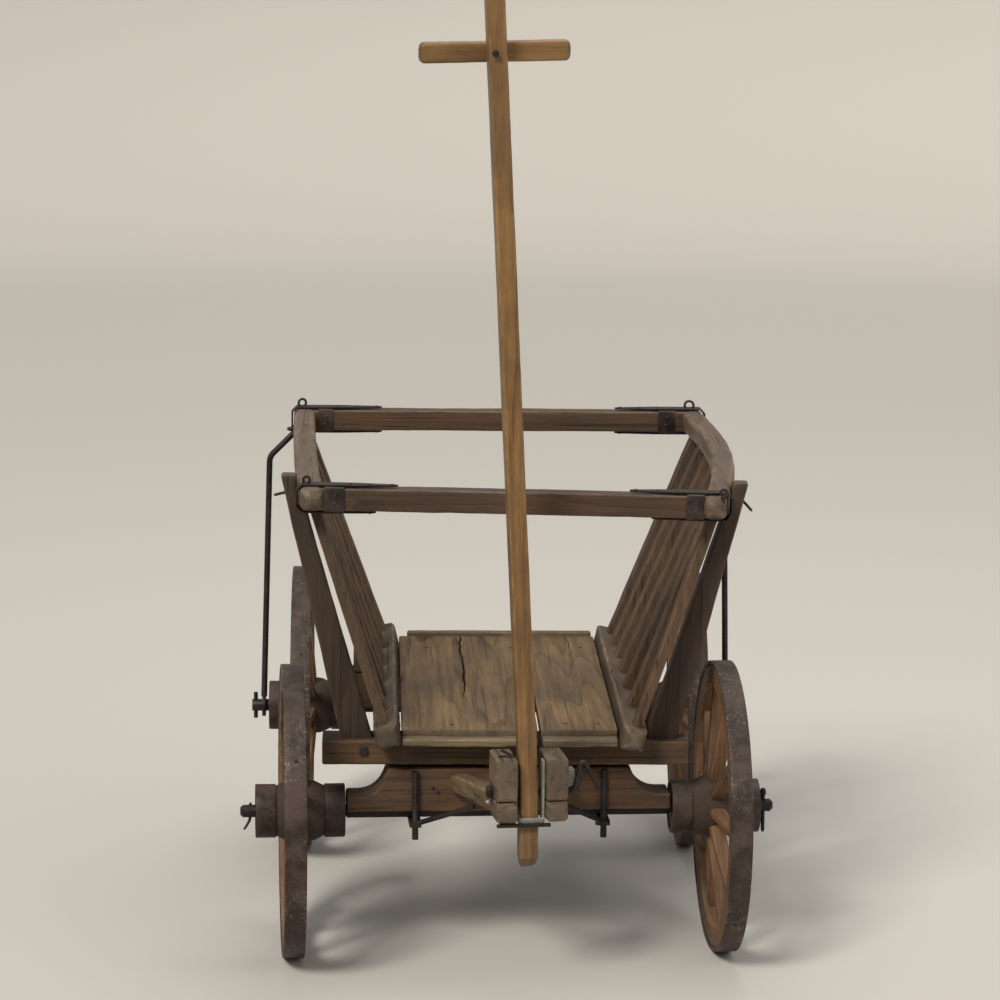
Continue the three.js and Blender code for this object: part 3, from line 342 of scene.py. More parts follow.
def stand_for(made, node, material):
    """The made piece takes the node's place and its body."""
    made.data.materials.append(material)
    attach(made, frame["nodes"][node]["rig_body"])
    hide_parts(node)


def timber(node, material, along, across, radius=0.003, step=0.012, per_side=6, wear=0.0006,
           chips=0.0012, skip=0.0, reach=0.0, cracks=(), round_end=0.003):
    """A weathered copy of a straight or bowed solid; along is its grain, across one way over it."""
    low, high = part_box(node)
    count = max(6, int((high - low).dot(Vector(map(abs, along))) / step))
    low, high, levels, sizes, third = slice_solid(node, along, across, count, skip)
    plan = section_points(per_side, CORNER_STEPS, cracks)
    seed = sum(ord(letter) for letter in node) % 97
    low, high = low - reach, high + reach
    ends = [0.0, round_end * 0.3, round_end]
    stations = [low + e for e in ends]
    inner = np.arange(low + round_end + step / 2, high - round_end - step / 4, step)
    stations += list(inner) + [high - e for e in reversed(ends)]
    points, corner, end_mark, grain = [], [], [], []
    for level in stations:
        row = [np.interp(level, levels, sizes[:, k]) for k in range(4)]
        for k in (0, 1):
            slope_low = (sizes[1, k] - sizes[0, k]) / (levels[1] - levels[0])
            slope_high = (sizes[-1, k] - sizes[-2, k]) / (levels[-1] - levels[-2])
            row[k] += min(level - levels[0], 0) * slope_low + max(level - levels[-1], 0) * slope_high
        near = min(level - low, high - level)
        pull = round_end * (1 - math.sqrt(max(0.0, 1 - (1 - min(near / round_end, 1)) ** 2)))
        section = loft_section(plan, row[2] - 2 * pull, row[3] - 2 * pull, radius, level, cracks)
        for x, y, out_x, out_y, mark in section:
            place = Vector((level, row[0] + x, row[1] + y))
            dent_at = (level * DENT_SCALE, place.y * DENT_ACROSS, place.z * DENT_ACROSS + seed)
            chip_at = (level * CHIP_SCALE + seed, place.y * CHIP_ACROSS, place.z * CHIP_ACROSS)
            dent = noise.noise(Vector(dent_at))
            chip = noise.noise(Vector(chip_at))
            sunk = wear * (0.5 + 0.5 * dent) + chips * mark * max(0.0, chip + 0.1)
            shift = [seed * share for share in GRAIN_SHIFT]
            grain.append((level + shift[0], place.y + shift[1], place.z + shift[2]))
            place.y -= out_x * sunk
            place.z -= out_y * sunk
            points.append(along * place.x + across * place.y + third * place.z)
            corner.append(mark)
            end_mark.append(max(0.0, 1 - near / END_MARK))
    faces = tube_faces(len(stations), len(plan))
    made = finish_mesh("wood_" + node, points, faces, {"grain": grain, "corner": corner, "end": end_mark})
    stand_for(made, node, material)


# %% [markdown]
# The materials share a few shader groups, because the same weather worked on every piece. Small
# helpers keep the node trees readable: they add a node, join or set a socket, and mix colours.

# %% Small helpers for shader trees
def put(tree, kind, **settings):
    node = tree.nodes.new(kind)
    for key, value in settings.items():
        setattr(node, key, value)
    return node


def feed(tree, target, value):
    if isinstance(value, bpy.types.NodeSocket):
        tree.links.new(value, target)
    elif isinstance(value, tuple) and len(value) == 3 and target.type == "RGBA":
        target.default_value = (*value, 1)
    else:
        target.default_value = value


def calc(tree, operation, a, b=0.0, c=0.0, clamp=False):
    node = put(tree, "ShaderNodeMath", operation=operation, use_clamp=clamp)
    for socket, value in zip(node.inputs, (a, b, c)):
        feed(tree, socket, value)
    return node.outputs[0]


def blend(tree, share, a, b):
    node = put(tree, "ShaderNodeMix", data_type="RGBA")
    feed(tree, node.inputs[0], share)
    feed(tree, node.inputs[6], a)
    feed(tree, node.inputs[7], b)
    return node.outputs[2]


def remap(tree, value, low, high, out_low=0.0, out_high=1.0):
    node = put(tree, "ShaderNodeMapRange", clamp=True)
    for socket, number in zip(node.inputs, (value, low, high, out_low, out_high)):
        feed(tree, socket, number)
    return node.outputs[0]


def stretched(tree, vector, scale):
    node = put(tree, "ShaderNodeVectorMath", operation="MULTIPLY")
    feed(tree, node.inputs[0], vector)
    node.inputs[1].default_value = scale
    return node.outputs[0]


def cloud(tree, vector, detail=3.0, roughness=0.55, distortion=0.0):
    node = put(tree, "ShaderNodeTexNoise")
    feed(tree, node.inputs["Vector"], vector)
    node.inputs["Scale"].default_value = 1.0
    node.inputs["Detail"].default_value = detail
    node.inputs["Roughness"].default_value = roughness
    node.inputs["Distortion"].default_value = distortion
    return node.outputs["Fac"]


def new_group(name, inputs, outputs):
    """A node group with typed, named sockets; returns the tree and its input and output nodes."""
    tree = bpy.data.node_groups.new(name, "ShaderNodeTree")
    for title, kind in inputs:
        tree.interface.new_socket(title, in_out="INPUT", socket_type="NodeSocket" + kind)
    for title, kind in outputs:
        tree.interface.new_socket(title, in_out="OUTPUT", socket_type="NodeSocket" + kind)
    return tree, put(tree, "NodeGroupInput"), put(tree, "NodeGroupOutput")


# %% [markdown]
# The first group is wood: rings that run along the grain, fine fibres, grey patches where the
# surface has bleached, and thin dark drying checks. Its input is the stored place along and across
# the grain, so the figure follows each piece however it leans.

# %% Shader group: wood figure
CHECK_COLOUR = (0.018, 0.011, 0.007)
GRIME_COLOUR = (0.035, 0.024, 0.017)
SOOT_COLOUR = (0.02, 0.016, 0.014)
END_GRAIN_COLOUR = (0.10, 0.075, 0.055)


def wood_figure_group():
    tree, given, result = new_group(
        "wood figure",
        [("Grain", "Vector"), ("Light", "Color"), ("Dark", "Color"), ("Grey", "Color"),
         ("Ring Count", "Float"), ("Figure", "Float"), ("Bleach", "Float"), ("Checks", "Float")],
        [("Color", "Color"), ("Height", "Float")],
    )
    grain = given.outputs["Grain"]
    slow = cloud(tree, stretched(tree, grain, (0.8, 11, 11)), 2.0, 0.45, 0.15)
    ringed = calc(tree, "MULTIPLY", slow, given.outputs["Ring Count"])
    saw = calc(tree, "FRACT", ringed)
    rings = calc(tree, "SUBTRACT", 1.0, calc(tree, "POWER", saw, 3.0))
    fibre = cloud(tree, stretched(tree, grain, (12, 520, 520)), 4, 0.7)
    streak = cloud(tree, stretched(tree, grain, (3, 95, 95)), 4, 0.62)
    patch = cloud(tree, stretched(tree, grain, (5, 16, 16)), 4, 0.6)
    pale = calc(tree, "MULTIPLY", rings, given.outputs["Figure"])
    pale = calc(tree, "ADD", pale, calc(tree, "MULTIPLY_ADD", fibre, 1.3, -0.65))
    pale = calc(tree, "ADD", pale, calc(tree, "MULTIPLY_ADD", streak, 1.5, -0.60))
    pale = calc(tree, "ADD", pale, calc(tree, "MULTIPLY_ADD", patch, 1.1, -0.42), clamp=True)
    colour = blend(tree, pale, given.outputs["Dark"], given.outputs["Light"])
    bleach_noise = cloud(tree, stretched(tree, grain, (3.2, 24, 24)), 5, 0.65)
    bleached = calc(tree, "MULTIPLY", remap(tree, bleach_noise, 0.42, 0.66), given.outputs["Bleach"])
    colour = blend(tree, bleached, colour, given.outputs["Grey"])
    split = cloud(tree, stretched(tree, grain, (3.4, 170, 170)), 2, 0.5)
    check = calc(tree, "MULTIPLY", remap(tree, split, 0.63, 0.70), given.outputs["Checks"], clamp=True)
    colour = blend(tree, calc(tree, "MULTIPLY", check, 0.75), colour, CHECK_COLOUR)
    height = calc(tree, "ADD", calc(tree, "MULTIPLY", rings, 0.35), calc(tree, "MULTIPLY", fibre, 0.5))
    height = calc(tree, "SUBTRACT", height, calc(tree, "MULTIPLY", check, 1.2))
    feed(tree, result.inputs["Color"], colour)
    feed(tree, result.inputs["Height"], height)
    return tree


# %% [markdown]
# Edge wear is the second group. Corners that hands, ropes and sacks rub are paler and smoother
# than the flats. The loft stored how near each point is to a corner, and noise breaks that band up,
# so the wear comes and goes along an edge.

# %% Shader group: edge wear
def edge_wear_group():
    tree, given, result = new_group(
        "edge wear",
        [("Color", "Color"), ("Worn", "Color"), ("Corner", "Float"), ("Place", "Vector"),
         ("Amount", "Float")],
        [("Color", "Color"), ("Mask", "Float")],
    )
    broken = cloud(tree, stretched(tree, given.outputs["Place"], (24, 60, 60)), 5, 0.7)
    near_corner = remap(tree, given.outputs["Corner"], 0.25, 0.95)
    mask = calc(tree, "MULTIPLY", near_corner, remap(tree, broken, 0.38, 0.62))
    mask = calc(tree, "MULTIPLY", mask, given.outputs["Amount"], clamp=True)
    feed(tree, result.inputs["Color"], blend(tree, mask, given.outputs["Color"], given.outputs["Worn"]))
    feed(tree, result.inputs["Mask"], mask)
    return tree


# %% [markdown]
# Dust and grime are the third group. Dust lies where a surface faces up; grime gathers in blotches
# and runs. The group reads the surface's own normal, which stays with the piece when it turns.

# %% Shader group: dust and grime
def dust_group():
    tree, given, result = new_group(
        "dust and grime",
        [("Color", "Color"), ("Dust", "Color"), ("Dust Amount", "Float"), ("Grime Amount", "Float")],
        [("Color", "Color")],
    )
    place = put(tree, "ShaderNodeTexCoord")
    split = put(tree, "ShaderNodeSeparateXYZ")
    feed(tree, split.inputs[0], place.outputs["Normal"])
    up = remap(tree, split.outputs["Z"], 0.35, 0.95)
    speck = cloud(tree, stretched(tree, place.outputs["Object"], (55, 55, 55)), 5, 0.7)
    broad = cloud(tree, stretched(tree, place.outputs["Object"], (9, 9, 9)), 4, 0.6)
    lying = calc(tree, "MULTIPLY", up, remap(tree, calc(tree, "MULTIPLY", speck, broad), 0.16, 0.36))
    lying = calc(tree, "MULTIPLY", lying, given.outputs["Dust Amount"], clamp=True)
    dirty = calc(tree, "MULTIPLY", remap(tree, broad, 0.40, 0.64), given.outputs["Grime Amount"], clamp=True)
    colour = blend(tree, dirty, given.outputs["Color"], GRIME_COLOUR)
    feed(tree, result.inputs["Color"], blend(tree, lying, colour, given.outputs["Dust"]))
    return tree


# %% [markdown]
# The fourth group is forged iron: dark scale, brown rust in patches and bright worn specks. It
# also gives the metallic value, because rust is not metal and the worn specks are.

# %% Shader group: forged iron
def forged_iron_group():
    tree, given, result = new_group(
        "forged iron",
        [("Scale", "Color"), ("Rust", "Color"), ("Worn", "Color"), ("Rusting", "Float"), ("Wear", "Float"),
         ("Corner", "Float")],
        [("Color", "Color"), ("Metallic", "Float"), ("Roughness", "Float"), ("Height", "Float")],
    )
    place = put(tree, "ShaderNodeTexCoord").outputs["Object"]
    broad = cloud(tree, stretched(tree, place, (26, 26, 26)), 6, 0.65)
    fine = cloud(tree, stretched(tree, place, (240, 240, 240)), 4, 0.7)
    rusty = remap(tree, calc(tree, "MULTIPLY_ADD", fine, 0.35, broad), 0.60, 0.80)
    rusty = calc(tree, "MULTIPLY", rusty, given.outputs["Rusting"], clamp=True)
    colour = blend(tree, rusty, given.outputs["Scale"], given.outputs["Rust"])
    colour = blend(tree, remap(tree, fine, 0.35, 0.7, 0.0, 0.35), colour, SOOT_COLOUR)
    spot = cloud(tree, stretched(tree, place, (190, 190, 190)), 5, 0.8)
    area = cloud(tree, stretched(tree, place, (14, 14, 14)), 3, 0.6)
    edge = calc(tree, "ADD", remap(tree, given.outputs["Corner"], 0.4, 1.0, 0.0, 0.06), spot)
    edge = calc(tree, "ADD", edge, remap(tree, area, 0.4, 0.6, -0.06, 0.05))
    worn = calc(tree, "MULTIPLY", remap(tree, edge, 0.56, 0.70), given.outputs["Wear"], clamp=True)
    colour = blend(tree, worn, colour, given.outputs["Worn"])
    metal = calc(tree, "MULTIPLY_ADD", rusty, -0.55, 0.60)
    metal = calc(tree, "MAXIMUM", metal, calc(tree, "MULTIPLY", worn, 0.9))
    rough = calc(tree, "MULTIPLY_ADD", rusty, 0.30, 0.48)
    rough = calc(tree, "SUBTRACT", rough, calc(tree, "MULTIPLY", worn, 0.12))
    height = calc(tree, "ADD", calc(tree, "MULTIPLY", fine, 0.5), calc(tree, "MULTIPLY", rusty, 0.35))
    for title, value in (("Color", colour), ("Metallic", metal), ("Roughness", rough), ("Height", height)):
        feed(tree, result.inputs[title], value)
    return tree


WOOD_FIGURE = wood_figure_group()
EDGE_WEAR = edge_wear_group()
DUST = dust_group()
FORGED_IRON = forged_iron_group()
print("shader groups:", [group.name for group in bpy.data.node_groups])


# %% [markdown]
# Every wood is the same chain of groups with its own colours. The old pole is golden where hands polished it,
# the rails have bleached, and the axle wood is dark with grease and road dirt, and darker still with painted
# shade for the shadow under the wagon's body.

# %% Wood materials
WOOD_RELIEF = (0.6, 0.0012)
IRON_RELIEF = (0.35, 0.0008)
EDGE_SHARE = 0.6
EDGE_POLISH = -0.15
END_SOAK = 0.55
WOOD_SHINE = 0.35
ROAD_DUST = (0.20, 0.165, 0.115)
IRON_DUST = (0.22, 0.19, 0.16)


def use_group(tree, group, **values):
    node = put(tree, "ShaderNodeGroup", node_tree=group)
    for title, value in values.items():
        feed(tree, node.inputs[title.replace("_", " ")], value)
    return node


def attribute(tree, name):
    return put(tree, "ShaderNodeAttribute", attribute_name=name)


def add_relief(tree, shader, height, strength_and_depth):
    strength, distance = strength_and_depth
    relief = put(tree, "ShaderNodeBump")
    relief.inputs["Strength"].default_value = strength
    relief.inputs["Distance"].default_value = distance
    feed(tree, relief.inputs["Height"], height)
    feed(tree, shader.inputs["Normal"], relief.outputs["Normal"])


def wood(name, light, dark, grey, worn, rings=5, figure=0.35, bleach=0.35, checks=0.8, dusty=0.15,
         grime=0.35, rough=(0.62, 0.86)):
    material, tree, shader = new_material(name)
    grain = attribute(tree, "grain").outputs["Vector"]
    figure_node = use_group(tree, WOOD_FIGURE, Grain=grain, Light=light, Dark=dark, Grey=grey,
                            Ring_Count=rings, Figure=figure, Bleach=bleach, Checks=checks)
    edge = use_group(tree, EDGE_WEAR, Color=figure_node.outputs["Color"], Worn=worn, Place=grain,
                     Corner=attribute(tree, "corner").outputs["Fac"], Amount=EDGE_SHARE)
    end = attribute(tree, "end").outputs["Fac"]
    ended = blend(tree, calc(tree, "MULTIPLY", end, END_SOAK), edge.outputs["Color"], END_GRAIN_COLOUR)
    dirt = use_group(tree, DUST, Color=ended, Dust=ROAD_DUST, Dust_Amount=dusty, Grime_Amount=grime)
    feed(tree, shader.inputs["Base Color"], dirt.outputs["Color"])
    dull = calc(tree, "MULTIPLY_ADD", edge.outputs["Mask"], EDGE_POLISH, rough[1])
    smooth = calc(tree, "MULTIPLY", figure_node.outputs["Height"], rough[0] - rough[1])
    dull = calc(tree, "ADD", dull, smooth)
    feed(tree, shader.inputs["Roughness"], dull)
    shader.inputs["Specular IOR Level"].default_value = WOOD_SHINE
    add_relief(tree, shader, figure_node.outputs["Height"], WOOD_RELIEF)
    return material


# name, pale and dark of the figure, bleached grey, worn edge, then what differs from the usual
FLOOR_WOOD = wood("floor_wood", (0.215, 0.132, 0.055), (0.040, 0.024, 0.012), (0.112, 0.078, 0.044),
                  (0.34, 0.25, 0.14), rings=9, figure=0.38, bleach=0.4, checks=0.5, dusty=0.06)
BATTEN_WOOD = wood("batten_wood", (0.225, 0.160, 0.085), (0.048, 0.031, 0.018), (0.145, 0.110, 0.068),
                   (0.38, 0.30, 0.19), rings=6, figure=0.3, bleach=0.5, checks=0.9, grime=0.4)
RAIL_WOOD = wood("rail_wood", (0.150, 0.092, 0.055), (0.045, 0.028, 0.018), (0.125, 0.090, 0.064),
                 (0.27, 0.195, 0.13), rings=6, figure=0.3, bleach=0.45, rough=(0.42, 0.68))
LOWER_RAIL_WOOD = wood("lower_rail_wood", (0.115, 0.074, 0.038), (0.028, 0.017, 0.010),
                       (0.088, 0.064, 0.040), (0.27, 0.20, 0.13), figure=0.3, bleach=0.4, checks=1.0,
                       grime=0.5)
BAR_WOOD = wood("bar_wood", (0.096, 0.050, 0.023), (0.022, 0.012, 0.007), (0.068, 0.045, 0.029),
                (0.23, 0.155, 0.092), rings=6, rough=(0.45, 0.72), grime=0.4)
SLAT_WOOD = wood("slat_wood", (0.115, 0.062, 0.028), (0.026, 0.014, 0.008), (0.078, 0.052, 0.033),
                 (0.26, 0.175, 0.10), grime=0.45)
STAKE_WOOD = wood("stake_wood", (0.066, 0.036, 0.018), (0.016, 0.009, 0.006), (0.050, 0.035, 0.023),
                  (0.18, 0.12, 0.075), grime=0.5)
# The axle wood is darker than its grease and road dirt alone would make it: part of its darkness is painted
# shade for its place under the body.
AXLE_WOOD_PAINTED_SHADE = wood("axle_wood", (0.125, 0.063, 0.028), (0.026, 0.014, 0.008), (0.075, 0.052, 0.034),
                 (0.24, 0.155, 0.085), figure=0.4, bleach=0.3, grime=0.55)
FORK_WOOD = wood("fork_wood", (0.180, 0.122, 0.064), (0.036, 0.023, 0.013), (0.112, 0.084, 0.052),
                 (0.33, 0.25, 0.16), rings=6, bleach=0.4, checks=1.2, grime=0.5)
POLE_WOOD = wood("pole_wood", (0.250, 0.132, 0.043), (0.080, 0.038, 0.014), (0.155, 0.092, 0.040),
                 (0.38, 0.24, 0.10), figure=0.45, bleach=0.3, checks=0.35, dusty=0.05,
                 rough=(0.35, 0.58), grime=0.4)
WHEEL_WOOD = wood("wheel_wood", (0.200, 0.096, 0.038), (0.048, 0.024, 0.012), (0.115, 0.074, 0.044),
                  (0.30, 0.18, 0.09), figure=0.4, grime=0.45)
HUB_WOOD = wood("hub_wood", (0.070, 0.037, 0.021), (0.018, 0.011, 0.008), (0.052, 0.036, 0.026),
                (0.13, 0.085, 0.052), bleach=0.3, checks=1.2, dusty=0.08, grime=0.5)
print("woods:", sum(material.name.endswith("_wood") for material in bpy.data.materials))

# %% [markdown]
# Iron comes in five finishes: near-black forged fittings, rust-brown tyres with bright specks where
# the road has worn them, the bands of the hubs, the thin collars, and a few pale, zinc-grey pieces.

# %% Iron materials
def iron(name, scale, rust, worn, rusting, wear, dusty=0.2):
    material, tree, shader = new_material(name)
    metal = use_group(tree, FORGED_IRON, Scale=scale, Rust=rust, Worn=worn, Rusting=rusting, Wear=wear,
                      Corner=attribute(tree, "corner").outputs["Fac"])
    dirt = use_group(tree, DUST, Color=metal.outputs["Color"], Dust=IRON_DUST,
                     Dust_Amount=dusty, Grime_Amount=0.2)
    feed(tree, shader.inputs["Base Color"], dirt.outputs["Color"])
    feed(tree, shader.inputs["Metallic"], metal.outputs["Metallic"])
    feed(tree, shader.inputs["Roughness"], metal.outputs["Roughness"])
    add_relief(tree, shader, metal.outputs["Height"], IRON_RELIEF)
    return material


# name, dark scale, rust, worn specks, how rusty, how worn
BLACK_IRON = iron("black_iron", (0.012, 0.010, 0.009), (0.034, 0.019, 0.013), (0.10, 0.09, 0.08), 0.5, 0.2,
                  dusty=0.05)
TYRE_IRON = iron("tyre_iron", (0.046, 0.031, 0.024), (0.076, 0.046, 0.034), (0.27, 0.24, 0.20), 0.9, 0.6)
BAND_IRON = iron("band_iron", (0.030, 0.019, 0.014), (0.062, 0.031, 0.020), (0.14, 0.10, 0.08), 0.9, 0.2)
COLLAR_IRON = iron("collar_iron", (0.024, 0.016, 0.013), (0.055, 0.027, 0.018), (0.12, 0.09, 0.07), 0.9, 0.2)
GALVANISED = iron("pale_iron", (0.34, 0.32, 0.28), (0.24, 0.19, 0.13), (0.60, 0.58, 0.54), 0.4, 0.5)

# %% [markdown]
# Now the timbers. Each call names the direction of the grain and one direction across it, so that
# the third always points up or to the rear. Slats and crossbars reach a few millimetres into the
# rails, as tenons do, and the floor board gets its long drying crack as a real groove.

# %% Timbers of the body
TRUCK_X = Vector(JOINTS["front_right_spin"]["axis"])
TRUCK_Y = Z_WAY.cross(TRUCK_X)
FORK_X = Vector(JOINTS["tongue_lift"]["axis"])
FORK_Y = Z_WAY.cross(FORK_X)
TENON = 0.004
RAIL_TILT = math.radians(12)
FLOOR_CRACK = {"side": 1, "share": 0.495, "start": KINGPIN.y + 0.11, "end": KINGPIN.y + 0.70,
               "width": 0.0034, "depth": 0.016, "wander": 0.006}
RIGHT_CRACK = {"side": 1, "share": 0.62, "start": KINGPIN.y + 0.40, "end": KINGPIN.y + 0.70,
               "width": 0.0012, "depth": 0.006, "wander": 0.006}

timber("floor_board_left", FLOOR_WOOD, Y_WAY, -X_WAY, 0.0025, per_side=14, wear=0.0010,
       cracks=[FLOOR_CRACK])
timber("floor_board_right", FLOOR_WOOD, Y_WAY, -X_WAY, 0.0025, per_side=10, wear=0.0010,
       cracks=[RIGHT_CRACK])
for side in ("left", "right"):
    timber("floor_batten_" + side, BATTEN_WOOD, X_WAY, Y_WAY, 0.003, step=0.005, wear=0.0022, chips=0.006)
timber("floor_cleat", BATTEN_WOOD, X_WAY, Y_WAY, 0.0025, step=0.008, wear=0.0012, chips=0.002)
for side in ("left", "right"):
    timber("rail_upper_" + side, RAIL_WOOD, Y_WAY, -X_WAY, 0.011, wear=0.0012, round_end=0.009)
    tilted = Vector((-math.cos(RAIL_TILT), 0, math.sin(RAIL_TILT) * (-1 if side == "left" else 1)))
    timber("rail_lower_" + side, LOWER_RAIL_WOOD, Y_WAY, tilted, 0.006, step=0.008, wear=0.0020,
           chips=0.005, round_end=0.005)
    timber("stake_" + side, STAKE_WOOD, Z_WAY, X_WAY, 0.0035, wear=0.0014, chips=0.0022, skip=0.006)
    for number in range(1, 8):
        timber(f"slat_{side}_{number}", SLAT_WOOD, Z_WAY, X_WAY, 0.0022, per_side=3, skip=0.03,
               wear=0.0008, chips=0.0016, reach=TENON)
for place in ("front", "rear"):
    timber("crossbar_" + place, BAR_WOOD, X_WAY, Y_WAY, 0.003, wear=0.0012, chips=0.0022, skip=0.03,
           reach=TENON)
    timber("bolster_" + place, AXLE_WOOD_PAINTED_SHADE, X_WAY, Y_WAY, 0.003, wear=0.0012, chips=0.002)
timber("reach", AXLE_WOOD_PAINTED_SHADE, Y_WAY, -X_WAY, 0.003)
timber("axle_bed_rear", AXLE_WOOD_PAINTED_SHADE, X_WAY, Y_WAY, 0.004)

# %% [markdown]
# The front axle turns under the wagon and the fork sits a little askew on it, so their timbers are
# sliced along directions taken from the joints. The fork's ends are the most worn; the pole and
# its crosspiece keep soft, clean edges where hands hold them.

# %% Timbers of the turning truck and the tongue
timber("axle_bed_front", AXLE_WOOD_PAINTED_SHADE, TRUCK_X, TRUCK_Y, 0.003, step=0.004, wear=0.0012, chips=0.002)
for side in ("left", "right"):
    timber("hound_" + side, FORK_WOOD, FORK_Y, -FORK_X, 0.005, step=0.006, wear=0.0018, chips=0.005)
    timber("jaw_" + side, FORK_WOOD, FORK_Y, -FORK_X, 0.004, step=0.005, wear=0.0014, chips=0.0025)
timber("tongue_pole", POLE_WOOD, Z_WAY, FORK_X, 0.004, wear=0.0008, chips=0.001, round_end=0.0015)
timber("handle", POLE_WOOD, FORK_X, FORK_Y, 0.005, step=0.006, wear=0.0008, round_end=0.005)

# %% [markdown]
# A wheelwright's wheel has a turned hub, spokes driven into it, and felloes: curved blocks of wood,
# one for every two spokes, with a narrow joint between them. The iron tyre was shrunk on hot and
# pulls them together. Each kind of part is made round the hub's own line, taken from the joint.

# %% Wheel sizes
HUB_LENGTH = 0.136
HUB_BAND_WIDTH = 0.031
HUB_BAND_RADIUS = 0.041
HUB_BAND_THICKNESS = 0.0045
HUB_WOOD_RADIUS = 0.047
HUB_END_RADIUS = 0.0350
HUB_BORE_RADIUS = 0.0135
HUB_RECESS = 0.002
HUB_TURNING = ((0.062, 0.0365), (0.037, 0.0385), (0.033, 0.0400), (0.022, 0.0455),
               (0.016, HUB_WOOD_RADIUS))
BUSH_LENGTH = 0.010
BUSH_RADII = (0.0107, 0.0150)
RIM_DISH = 0.012
FELLOE_DEPTH = 0.033
FELLOE_WIDTH = 0.030
FELLOE_ROUND = 0.0035
FELLOE_JOINT = 0.0010
TYRE_CLEARANCE = 0.0002
TYRE_THICKNESS = 0.006
TYRE_WIDTH = 0.033
SPOKE_STATIONS = 14
SPOKE_SIDES = 16
SPOKE_IN_HUB = 0.008
SPOKE_IN_RIM = 0.003
SPOKE_WIDTH = 0.017
SPOKE_WAIST = 0.003
SPOKE_NARROWING = 0.0015
SPOKE_DEPTH = 0.025
SPOKE_THINNING = 0.007
SPOKE_SHIFT = (0.37, 0.05)
FELLOE_SHIFT = 1.7
HUB_TWIST = 2.4
FELLOE_STEPS = 22
HUB_STEPS = 48
BUSH_STEPS = 32
TYRE_STEPS = 120
ROUGH_ALONG = 70
ROUGH_AROUND = 22
SPOKES = 10
FELLOES = 5
FOUR_CORNERS = [("front", "left"), ("front", "right"), ("rear", "left"), ("rear", "right")]


def ring_mesh(profile, sides, frame_of, seam=None, wobble=0.0, marks=None):
    """A closed profile of (along the axis, radius) turned about the axis; open when seam is given."""
    start, end = seam or (0.0, 2 * math.pi)
    turns = sides if seam is None else sides + 1
    points, corner, grain = [], [], []
    for k in range(turns):
        angle = start + (end - start) * k / sides
        for n, (x, r) in enumerate(profile):
            around = (x * ROUGH_ALONG, math.cos(angle) * r * ROUGH_AROUND, math.sin(angle) * r * ROUGH_AROUND)
            points.append(frame_of(x, r - abs(wobble * noise.noise(Vector(around))), angle))
            corner.append(marks[n] if marks else 0.0)
            grain.append((angle * 0.2, r, x))
    return points, tube_faces(turns, len(profile), closed=seam is None), corner, grain


def rounded_profile(x0, x1, r0, r1, radius, steps=4):
    """Rectangle from x0 to x1 and r0 to r1 with rounded corners, and how near each point is to one."""
    rows, marks = [], []
    centres = [(x1 - radius, r0 + radius, -90), (x1 - radius, r1 - radius, 0),
               (x0 + radius, r1 - radius, 90), (x0 + radius, r0 + radius, 180)]
    for number, (cx, cr, start) in enumerate(centres):
        for k in range(steps):
            angle = math.radians(start + 90 * k / (steps - 1))
            rows.append((cx + radius * math.cos(angle), cr + radius * math.sin(angle)))
            marks.append(1.0 if 0 < k < steps - 1 else 0.6)
        after_x, after_r, after_start = centres[(number + 1) % 4]
        ahead_x = after_x + radius * math.cos(math.radians(after_start))
        ahead_r = after_r + radius * math.sin(math.radians(after_start))
        for share in (1 / 3, 2 / 3):
            x, r = rows[-1]
            rows.append((x * (1 - share) + ahead_x * share, r * (1 - share) + ahead_r * share))
            marks.append(0.0)
    return rows, marks


print("spokes and felloes of a wheel:", SPOKES, FELLOES)

# %% [markdown]
# A wheel, a strap or a rope eye is made of several parts. They are joined into one mesh, which either
# stands for a CAD solid or rides on a body as a small fitting of its own.

# %% Joined pieces
def join_parts(name, parts):
    points, faces, corner, grain = [], [], [], []
    for part_points, part_faces, part_corner, part_grain in parts:
        base = len(points)
        points += part_points
        faces += [tuple(base + n for n in face) for face in part_faces]
        corner += part_corner
        grain += part_grain
    return finish_mesh(name, points, faces, {"grain": grain, "corner": corner, "end": [0.0] * len(points)})


def fitting(name, parts, material, body):
    made = join_parts(name, parts)
    made.data.materials.append(material)
    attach(made, body)


# %% [markdown]
# The parts of a wheel, as the wheelwright makes them. A spoke is thickest at the hub and leans
# inwards there, which gives the wheel its dish. A felloe is a short arc, and the joint to the next
# one is left a millimetre open. The hub swells in the middle, where the spokes weaken it.

# %% Parts of a wheel
def spoke_part(frame_of, angle, radius_in, radius_out, seed):
    points, corner, grain = [], [], []
    for k in range(SPOKE_STATIONS):
        t = k / (SPOKE_STATIONS - 1)
        r = radius_in + (radius_out - radius_in) * t
        axial = -RIM_DISH * (1 - t)
        waist = SPOKE_WAIST * math.sin(math.pi * min(t * 1.15, 1))
        wide = SPOKE_WIDTH - waist - SPOKE_NARROWING * t
        deep = SPOKE_DEPTH - SPOKE_THINNING * t
        for n in range(SPOKE_SIDES):
            turn = 2 * math.pi * n / SPOKE_SIDES
            c, s = math.cos(turn), math.sin(turn)
            squash = (abs(c) ** 4 + abs(s) ** 4) ** -0.25
            worn = 1 - 0.04 * (0.5 + 0.5 * noise.noise(Vector((r * 20 + seed, c, s))))
            around = wide / 2 * c * squash * worn
            x = axial + deep / 2 * s * squash * worn
            points.append(frame_of(x, math.hypot(r, around), angle + math.atan2(around, r)))
            corner.append(max(0.0, 1 - abs(abs(c) - abs(s)) * 3) * 0.8)
            grain.append((r + seed * SPOKE_SHIFT[0], around + seed * SPOKE_SHIFT[1], x))
    return points, tube_faces(SPOKE_STATIONS, SPOKE_SIDES), corner, grain


